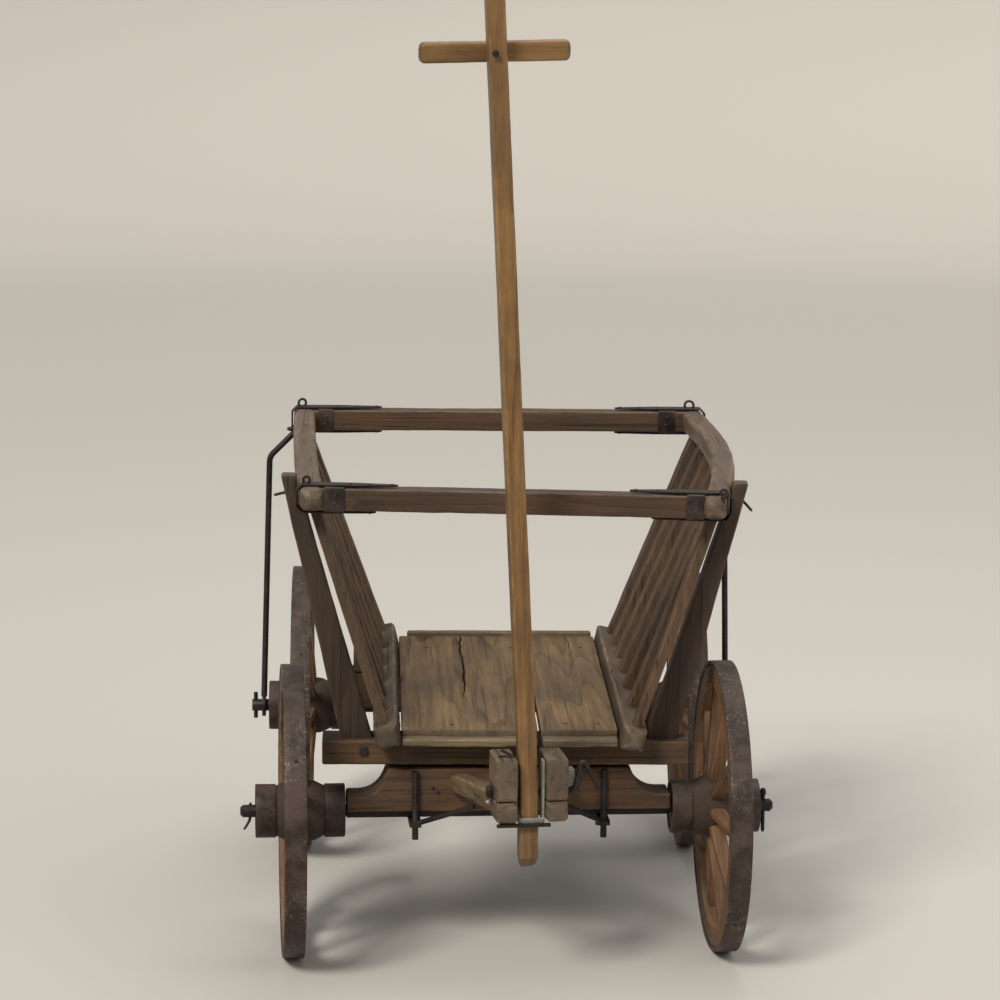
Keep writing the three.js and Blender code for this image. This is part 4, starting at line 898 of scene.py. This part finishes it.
def felloe_part(frame_of, number, inner, outer, seed):
    half = FELLOE_WIDTH / 2
    profile, marks = rounded_profile(-half, half, inner, outer - TYRE_CLEARANCE, FELLOE_ROUND)
    gap = FELLOE_JOINT / outer / 2
    seam = (2 * math.pi * number / FELLOES + gap, 2 * math.pi * (number + 1) / FELLOES - gap)
    points, faces, corner, grain = ring_mesh(profile, FELLOE_STEPS, frame_of, seam, 0.0012, marks)
    grain = [(around + number * FELLOE_SHIFT + seed, r, x) for around, r, x in grain]
    return points, faces, corner, grain


def hub_part(frame_of, hub_in, hub_out, seed):
    profile = [(hub_in + HUB_RECESS, r) for r in (HUB_BORE_RADIUS, HUB_END_RADIUS)]
    profile += [(-x - RIM_DISH, r) for x, r in HUB_TURNING]
    profile += [(x - RIM_DISH, r) for x, r in reversed(HUB_TURNING)]
    profile += [(hub_out - HUB_RECESS, r) for r in (HUB_END_RADIUS, HUB_BORE_RADIUS)]
    points, faces, corner, grain = ring_mesh(profile, HUB_STEPS, frame_of, None, 0.0008)
    grain = [(x + seed, r * math.cos(n * HUB_TWIST), r * math.sin(n * HUB_TWIST))
             for n, (_, r, x) in enumerate(grain)]
    return points, faces, corner, grain


def hub_irons(frame_of, hub_in, hub_out):
    """A band round each end of the hub, and a bush in each end of its bore."""
    parts = []
    for start in (hub_in, hub_out - HUB_BAND_WIDTH):
        band, marks = rounded_profile(start, start + HUB_BAND_WIDTH, HUB_BAND_RADIUS - HUB_BAND_THICKNESS,
                                      HUB_BAND_RADIUS, 0.0012)
        parts.append(ring_mesh(band, HUB_STEPS, frame_of, None, 0.0004, marks))
    for start in (hub_in + 0.001, hub_out - 0.001 - BUSH_LENGTH):
        bush, marks = rounded_profile(start, start + BUSH_LENGTH, *BUSH_RADII, 0.0008)
        parts.append(ring_mesh(bush, BUSH_STEPS, frame_of, None, 0.0002, marks))
    return parts


# %% [markdown]
# Felloes and spokes become one piece, the turned hub a second, its irons a third, and the tyre is a
# piece of its own, as in the CAD model. All four wheels are made alike, each with its own grain.

# %% One wheel
def make_wheel(place, side, seed):
    name = f"{place}_{side}"
    joint = JOINTS[f"{place}_{side}_spin"]
    centre = Vector(joint["pos_m"])
    outboard = Vector(joint["axis"]) * (1 if side == "right" else -1)
    level = outboard.cross(Z_WAY)
    low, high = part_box("tyre_" + name)
    radius = (high.z - low.z) / 2
    outer = radius - TYRE_THICKNESS
    inner = outer - FELLOE_DEPTH
    hub_in, hub_out = -RIM_DISH - HUB_LENGTH / 2, -RIM_DISH + HUB_LENGTH / 2

    def frame_of(x, r, angle):
        return centre + outboard * x + Z_WAY * (r * math.cos(angle)) + level * (r * math.sin(angle))

    parts = [felloe_part(frame_of, k, inner, outer, seed) for k in range(FELLOES)]
    for k in range(SPOKES):
        turn = 2 * math.pi * (k + 0.5) / SPOKES
        reach_in, reach_out = HUB_WOOD_RADIUS - SPOKE_IN_HUB, inner + SPOKE_IN_RIM
        parts.append(spoke_part(frame_of, turn, reach_in, reach_out, k + seed))
    stand_for(join_parts("wheelwork_" + name, parts), "wheel_" + name, WHEEL_WOOD)
    hub = hub_part(frame_of, hub_in, hub_out, seed)
    fitting("nave_" + name, [hub], HUB_WOOD, f"{place}_{side}_wheel")
    fitting("hub_irons_" + name, hub_irons(frame_of, hub_in, hub_out), BAND_IRON, f"{place}_{side}_wheel")
    hoop, marks = rounded_profile(-TYRE_WIDTH / 2, TYRE_WIDTH / 2, outer, radius, 0.0016)
    tyre = join_parts("hoop_" + name, [ring_mesh(hoop, TYRE_STEPS, frame_of, None, 0.0007, marks)])
    stand_for(tyre, "tyre_" + name, TYRE_IRON)


for number, (place, side) in enumerate(FOUR_CORNERS):
    make_wheel(place, side, number * 13)
print("wheels:", len(FOUR_CORNERS))

# %% [markdown]
# Iron fittings keep the solid's own shape. A copy gets its edges rounded with a bevel, because no
# forged edge is sharp, and its corners are marked for the wear group.

# %% Iron fittings
MERGE = 1e-5
EDGE_ROUND = 0.0006
FLAT = math.radians(1.5)
BENT = math.radians(15)
SHARP = math.radians(32)


def turn_at(edge):
    """The angle between an edge's two faces, or none at an open edge."""
    return edge.calc_face_angle(0) if len(edge.link_faces) == 2 else 0


def forged(node, material):
    shape = bmesh.new()
    shape.from_mesh(frame["nodes"][node].data)
    bmesh.ops.remove_doubles(shape, verts=shape.verts, dist=MERGE)
    bmesh.ops.dissolve_limit(shape, angle_limit=FLAT, verts=shape.verts, edges=shape.edges)
    sharp = [edge for edge in shape.edges if turn_at(edge) > SHARP]
    bmesh.ops.bevel(shape, geom=sharp, offset=EDGE_ROUND, segments=2, profile=0.5, affect="EDGES",
                    clamp_overlap=True)
    points = [vertex.co.copy() for vertex in shape.verts]
    corner = [float(any(turn_at(edge) > BENT for edge in vertex.link_edges)) for vertex in shape.verts]
    faces = [[vertex.index for vertex in face.verts] for face in shape.faces]
    shape.free()
    stand_for(finish_mesh("iron_" + node, points, faces, {"corner": corner}), node, material)


for node in ("axle_bar_rear", "kingpin", "axle_clip_left", "axle_clip_right", "tongue_pin", "stay_left",
             "stay_right"):
    forged(node, BLACK_IRON)
forged("tongue_stop", GALVANISED)

# %% [markdown]
# The small irons are bent, cut and driven by hand, and here they are placed one by one. Three helpers turn
# measures from the foot of the kingpin, or from the tongue's pin, into places on the body, on the turned
# front axle and on the fork, which sits a little askew on that axle.

# %% Places on the wagon
TONGUE_PIN = Vector(JOINTS["tongue_lift"]["pos_m"])


def on_body(x, y, z):
    return Vector((KINGPIN.x + x, KINGPIN.y + y, z))


def on_axle(x, y, z):
    return Vector((KINGPIN.x, KINGPIN.y, z)) + TRUCK_X * x + TRUCK_Y * y


def on_fork(x, y, z):
    return TONGUE_PIN + FORK_X * x + FORK_Y * y + Z_WAY * z


# %% [markdown]
# Rods, hooks and rings are the same thing: a section carried along a line. The line is a smooth
# curve through a few corners, and the section turns with it, so a hook needs only its corners and
# its thickness at both ends.

# %% Carry a section along a line
SKIN_WEAR = 0.3
ROD_TIP = 0.6
NAIL_SHAPE = ((0.85, -0.002, 0), (1.0, -0.0003, 0), (1.0, 0, 0.4), (0.7, 0, 0.9), (0.2, 0, 1.0))


def curve_through(corners, steps=6):
    rows = [corners[0], *corners, corners[-1]]
    line = []
    for a, b, c, d in zip(rows, rows[1:], rows[2:], rows[3:]):
        for k in range(steps):
            t = k / steps
            bend = (2 * a - 5 * b + 4 * c - d) * t * t + (3 * b - a - 3 * c + d) * t ** 3
            line.append(0.5 * (2 * b + (c - a) * t + bend))
    return [*line, corners[-1]]


def skin(rings, closed=False):
    """Points, faces, corner marks and grain of a tube through rings of equal length."""
    points = [point for ring in rings for point in ring]
    faces = tube_faces(len(rings), len(rings[0]), closed)
    return points, faces, [SKIN_WEAR] * len(points), [tuple(point) for point in points]


def circle(middle, side, over, radius, sides):
    turns = [2 * math.pi * n / sides for n in range(sides)]
    return [middle + (side * math.cos(a) + over * math.sin(a)) * radius for a in turns]


def rod_part(line, start_radius, end_radius, sides=12):
    rings = []
    side = (line[1] - line[0]).orthogonal().normalized()
    for k, place in enumerate(line):
        ahead = (line[min(k + 1, len(line) - 1)] - line[max(k - 1, 0)]).normalized()
        side = (side - ahead * side.dot(ahead)).normalized()
        over = ahead.cross(side)
        share = k / (len(line) - 1)
        radius = start_radius + (end_radius - start_radius) * share
        radius *= 1 - 0.10 * abs(noise.noise(place * 160))
        if k in (0, len(line) - 1):
            radius *= ROD_TIP
        rings.append(circle(place, side, over, radius, sides))
    return skin(rings)


def block_part(middle, ways, sizes, round_by=0.0006):
    """A flat block with softened edges: ways are three unit directions, sizes its full lengths."""
    rings = []
    half = [size / 2 for size in sizes]
    for along, shrink in ((-1, 1), (-1, 0), (1, 0), (1, 1)):
        depth = along * (half[0] - (0 if shrink else round_by))
        w, h = half[1] - round_by * shrink, half[2] - round_by * shrink
        cut = min(w, h) * 0.15
        outline = [(w - cut, -h), (w, -h + cut), (w, h - cut), (w - cut, h),
                   (-w + cut, h), (-w, h - cut), (-w, -h + cut), (-w + cut, -h)]
        rings.append([middle + ways[0] * depth + ways[1] * a + ways[2] * b for a, b in outline])
    return skin(rings)


def nail_part(place, out, radius, height=0.0012, sides=10):
    side = out.orthogonal().normalized()
    over = out.cross(side)
    rings = [circle(place + out * (sunk + height * rise), side, over, radius * share, sides)
             for share, sunk, rise in NAIL_SHAPE]
    return skin(rings)


# %% [markdown]
# Flat straps tie the crossbars to the upper rails. The smith drew each leg out to a narrow round
# tip, bent the strap round the rail and nailed it; a thin collar under it keeps the bar's end from
# splitting. The strap follows its solid's own line and is only narrowed towards the tips.

# %% Straps and collars
STRAP_THICKNESS = 0.0025
STRAP_TIP = 0.30
STRAP_CORNER = 0.008
CROSSBAR = 0.035
STRAP_EXTRA = 0.033
COLLAR_ENDS = {"front_left": (-0.2796, -0.2504), "front_right": (0.2585, 0.2846),
               "rear_left": (-0.3001, -0.2755), "rear_right": (0.2704, 0.2980)}
COLLAR_THICKNESS = 0.0013
STRAP_STEP = 0.003
STRAP_EDGE = 0.0007
STRAP_WIDTH = 0.92
TAPER_STEPS = 22
NAIL_STEPS = (3, 14, 24)
COLLAR_ROUND = 0.0025
NAIL_RADIUS = 0.0030


def crossbar_line(place):
    """Middle and slope of a crossbar, which lies a little lower at the right."""
    low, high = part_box("crossbar_" + place)
    return (low + high) / 2, -(high.z - low.z - CROSSBAR) / (high.x - low.x)


def strap_line(node, slope):
    low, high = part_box(node)
    at_right = node.endswith("right")
    half = STRAP_THICKNESS / 2
    middle = (low + high) / 2
    lift = (high.z - low.z) / 2 - abs(slope) * (high.x - low.x) / 2 - half
    outer = high.x - half if at_right else low.x + half
    inner = low.x if at_right else high.x
    longer = inner + (-STRAP_EXTRA if at_right else STRAP_EXTRA)
    inner = longer if "rear" in node else inner
    bend = STRAP_CORNER if at_right else -STRAP_CORNER
    shape = [(longer, lift), (outer - bend, lift), (outer, lift - STRAP_CORNER), (outer, STRAP_CORNER - lift),
             (outer - bend, -lift), (inner, -lift)]
    corners = [Vector((x, middle.y, middle.z + slope * (x - middle.x) + rise)) for x, rise in shape]
    line = []
    for a, b in zip(corners, corners[1:]):
        count = max(2, round((b - a).length / STRAP_STEP))
        line += [a.lerp(b, k / count) for k in range(count)]
    return [*line, corners[-1]], (high.y - low.y) / 2


def strap(place, side):
    node = f"strap_{place}_{side}"
    line, half_width = strap_line(node, crossbar_line(place)[1])
    rings, nails_at = [], []
    total = len(line) - 1
    for k, here in enumerate(line):
        ahead = (line[min(k + 1, total)] - line[max(k - 1, 0)]).normalized()
        out = ahead.cross(Y_WAY).normalized()
        steps_in = min(k, total - k)
        share = min(steps_in / TAPER_STEPS, 1)
        width = half_width * (STRAP_TIP + (STRAP_WIDTH - STRAP_TIP) * share)
        width *= math.sqrt(max(0.05, 1 - max(0, 1 - steps_in / 3) ** 2))
        width += 0.0005 * noise.noise(here * 60)
        h = STRAP_THICKNESS / 2
        e = STRAP_EDGE
        outline = [(-width, -h + e), (-width + e, -h), (width - e, -h), (width, -h + e),
                   (width, h - e), (width - e, h), (-width + e, h), (-width, h - e)]
        rings.append([here + Y_WAY * a + out * b for a, b in outline])
        if steps_in in NAIL_STEPS:
            centre = sum(line, Vector()) / len(line)
            outward = out if out.dot(here - centre) > 0 else -out
            nails_at.append(nail_part(here + outward * h, outward, NAIL_RADIUS))
    stand_for(join_parts("iron_" + node, [skin(rings), *nails_at]), node, BLACK_IRON)


def collar(place, side):
    middle, slope = crossbar_line(place)
    start, end = COLLAR_ENDS[f"{place}_{side}"]
    half = CROSSBAR / 2 + 0.0001
    rings = []
    for x, grow in ((start, 0), (start, COLLAR_THICKNESS), (end, COLLAR_THICKNESS), (end, 0)):
        h = half + grow
        a, b = h - COLLAR_ROUND, h - COLLAR_ROUND * 0.3
        outline = [(a, -h), (b, -b), (h, -a), (h, a), (b, b), (a, h),
                   (-a, h), (-b, b), (-h, a), (-h, -a), (-b, -b), (-a, -h)]
        centre = Vector((x, middle.y, middle.z + slope * (x - middle.x)))
        rings.append([centre + Y_WAY * y + Z_WAY * z for y, z in outline])
    nails_at = []
    for rise in (-0.006, 0.007):
        x = (start + end) / 2 + rise * 0.2
        z = middle.z + slope * (x - middle.x) + rise
        nails_at.append(nail_part(Vector((x, middle.y - half - COLLAR_THICKNESS, z)), -Y_WAY, NAIL_RADIUS))
    fitting(f"collar_{place}_{side}", [skin(rings, closed=True), *nails_at], COLLAR_IRON, "wagon_body")


for place, side in FOUR_CORNERS:
    strap(place, side)
    collar(place, side)

# %% [markdown]
# Ropes over the load were tied to eyes on the corners of the rack. Each eye is a rod bent into a
# ring, and its shank goes down through a small domed seat into the strap and the rail.

# %% Rope eyes, bolts and hooks on the body
EYE_ROD = 0.0021


def rope_eye(name, foot, outer_radius, lean):
    loop_radius = outer_radius - EYE_ROD
    middle = foot + Z_WAY * outer_radius
    turns = [math.radians(-90 + 35 * k) for k in range(10)]
    sideways = X_WAY * math.cos(lean) + Y_WAY * math.sin(lean)
    loop = [middle + (sideways * math.cos(a) + Z_WAY * math.sin(a)) * loop_radius for a in turns]
    line = curve_through([foot - Z_WAY * 0.010, foot - Z_WAY * 0.002, *loop], 4)
    seat = nail_part(foot, Z_WAY, 0.005, 0.0020)
    fitting(name, [rod_part(line, EYE_ROD, EYE_ROD, 10), seat], BLACK_IRON, "wagon_body")


rope_eye("rope_eye_front_left", on_body(-0.3069, -0.0720, 0.7395), 0.0070, 0.1)
rope_eye("rope_eye_front_right", on_body(0.3130, -0.0930, 0.7262), 0.0070, -0.2)
rope_eye("rope_eye_rear_left", on_body(-0.3274, 0.6550, 0.7385), 0.0085, 0.3)
rope_eye("rope_eye_rear_right", on_body(0.3234, 0.6550, 0.7360), 0.0095, -0.1)
line = curve_through([on_body(-0.3330, 0, 0.7155), on_body(-0.3452, 0, 0.7132), on_body(-0.3572, 0, 0.7100)])
fitting("stake_hook_left", [rod_part(line, 0.0024, 0.0021)], BLACK_IRON, "wagon_body")
line = curve_through([on_body(0.3380, 0, 0.7080), on_body(0.3480, 0, 0.7062), on_body(0.3526, 0, 0.7021),
                      on_body(0.3650, 0, 0.6883)])
fitting("stake_hook_right", [rod_part(line, 0.0024, 0.0021)], BLACK_IRON, "wagon_body")
line = [on_body(x, 0.616, 0.7090) for x in (-0.338, -0.343, -0.3477, -0.352)]
fitting("stay_bolt_left", [rod_part(line, 0.0045, 0.0035)], BLACK_IRON, "wagon_body")
nut = block_part(on_body(-0.2212, -0.0360, 0.3223), (Y_WAY, X_WAY, Z_WAY), (0.005, 0.012, 0.012))
fitting("bolster_nut", [nut], BLACK_IRON, "wagon_body")

# %% [markdown]
# Nails hold the floor boards down, and two more sit in the front axle bed. A nail has a domed head,
# dark against the wood, that stands less than two millimetres proud.

# %% Nails
FLOOR_NAILS = [(-0.1185, 0.5122), (0.1370, 0.5135), (0.0214, 0.5123), (0.1360, -0.0090),
               (-0.0861, -0.0169), (0.0856, -0.0093), (-0.0066, -0.0100)]
board_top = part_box("floor_board_left")[1].z
heads = [nail_part(on_body(x, y, board_top - 0.0008), Z_WAY, NAIL_RADIUS) for x, y in FLOOR_NAILS]
fitting("floor_nails", heads, BLACK_IRON, "wagon_body")
heads = [nail_part(on_axle(x, -0.0296, z), -TRUCK_Y, NAIL_RADIUS)
         for x, z in ((-0.1168, 0.2642), (-0.1092, 0.2572))]
fitting("bed_nails", heads, BLACK_IRON, "front_truck")
print("nails:", len(FLOOR_NAILS) + len(heads))

# %% [markdown]
# The fork carries most of the small ironwork: a hook beside the tongue's pin, a pale plate at the
# pin's end, a bar under the hounds, a bolt, and a staple and a nail in the tops of the jaws.

# %% Irons on the fork
hook = curve_through([on_body(0.0800, -0.2100, 0.3090), on_body(0.0920, -0.2135, 0.3130),
                      on_body(0.0958, -0.2150, 0.3310), on_body(0.0985, -0.2155, 0.3480),
                      on_body(0.1035, -0.2155, 0.3520), on_body(0.1093, -0.2150, 0.3435),
                      on_body(0.1168, -0.2150, 0.3296), on_body(0.1240, -0.2150, 0.3120)])
fitting("fork_hook", [rod_part(hook, 0.0060, 0.0025)], BLACK_IRON, "front_truck")
plate = block_part(on_fork(0.0600, 0.0, 0.0165), (FORK_X, FORK_Y, Z_WAY), (0.0120, 0.0240, 0.0330))
fitting("pin_plate", [plate], GALVANISED, "front_truck")
bar = block_part(on_fork(-0.011, -0.0245, -0.0460), (FORK_X, FORK_Y, Z_WAY), (0.080, 0.0060, 0.0045))
fitting("fork_bar", [bar], BLACK_IRON, "front_truck")
bolt = [on_fork(x, 0.010, -0.018) for x in (-0.052, -0.056, -0.060, -0.063)]
fitting("hound_bolt", [rod_part(bolt, 0.0034, 0.0030)], GALVANISED, "front_truck")
jaw_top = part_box("jaw_left")[1].z
STAPLE = ((-0.0166, -0.1880, -0.004), (-0.0166, -0.1890, 0.001), (-0.0016, -0.2210, 0.001),
          (-0.0050, -0.2245, 0.001), (-0.0210, -0.2230, 0.001), (-0.0220, -0.2225, -0.004))
staple = curve_through([on_body(x, y, jaw_top + rise) for x, y, rise in STAPLE])
fitting("jaw_staple", [rod_part(staple, 0.0014, 0.0014)], BLACK_IRON, "front_truck")
fitting("jaw_nail", [nail_part(on_body(0.0589, -0.2038, jaw_top - 0.001), Z_WAY, NAIL_RADIUS)], BLACK_IRON,
        "front_truck")

# %% [markdown]
# The front axle is a square iron bar in the wooden bed, with a round arm at each end for the hub to
# turn on. A pin through the arm keeps the wheel on: a tapered one with a head at the right, and at
# the left a bent nail.

# %% Front axle iron with its pins
ARM_END = 0.409
ARM_RADIUS = 0.010
HUB_LINE = JOINTS["front_left_spin"]["pos_m"][2]
BAR_HALF = 0.2475
BAR_SIDE = 0.020
ARM_ROOT = 0.01


def front_axle():
    sizes = (2 * BAR_HALF, BAR_SIDE, BAR_SIDE)
    square = block_part(on_axle(0, 0, HUB_LINE), (TRUCK_X, TRUCK_Y, Z_WAY), sizes, 0.001)
    arms = []
    start = BAR_HALF - ARM_ROOT
    for way in (-1, 1):
        line = [on_axle(way * (start + (ARM_END - start) * k / 40), 0, HUB_LINE) for k in range(41)]
        arms.append(rod_part(line, ARM_RADIUS, ARM_RADIUS * 0.98, 24))
    cotter = curve_through([on_axle(0.3945, 0.001, HUB_LINE + 0.022), on_axle(0.3945, 0, HUB_LINE),
                            on_axle(0.3950, -0.001, HUB_LINE - 0.042)], 8)
    head = nail_part(on_axle(0.3945, 0.001, HUB_LINE + 0.018), Z_WAY, 0.0050, 0.009)
    nail = curve_through([on_axle(-0.3935, 0, HUB_LINE + 0.013), on_axle(-0.3940, 0, HUB_LINE - 0.010),
                          on_axle(-0.3975, -0.002, HUB_LINE - 0.019),
                          on_axle(-0.4035, -0.004, HUB_LINE - 0.028)])
    parts = [square, *arms, rod_part(cotter, 0.0036, 0.0030), head, rod_part(nail, 0.0026, 0.0018)]
    stand_for(join_parts("iron_axle_bar_front", parts), "axle_bar_front", BLACK_IRON)


front_axle()

# %% [markdown]
# A countersunk bolt holds the tyre to each felloe, worn almost flush by the road, and one domed bolt
# holds the crosspiece to the tongue.

# %% Tyre bolts and the tongue's bolt
FIRST_BOLT = 0.35


def tyre_bolts(place, side):
    joint = JOINTS[f"{place}_{side}_spin"]
    centre = Vector(joint["pos_m"])
    level = Vector(joint["axis"]).cross(Z_WAY)
    low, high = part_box(f"tyre_{place}_{side}")
    radius = (high.z - low.z) / 2
    heads = []
    for k in range(FELLOES):
        turn = 2 * math.pi * (k + 0.5) / FELLOES + FIRST_BOLT
        out = Z_WAY * math.cos(turn) + level * math.sin(turn)
        heads.append(nail_part(centre + out * (radius - 0.0006), out, 0.0042, 0.0005, 14))
    fitting(f"tyre_bolts_{place}_{side}", heads, BLACK_IRON, f"{place}_{side}_wheel")


for place, side in FOUR_CORNERS:
    tyre_bolts(place, side)
handle_low, handle_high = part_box("handle")
crossing = (handle_low + handle_high) / 2
bolt_place = Vector((crossing.x, handle_low.y - 0.026, crossing.z))
fitting("tongue_bolt", [nail_part(bolt_place, -FORK_Y, 0.0050, 0.0030, 12)], BLACK_IRON, "tongue")
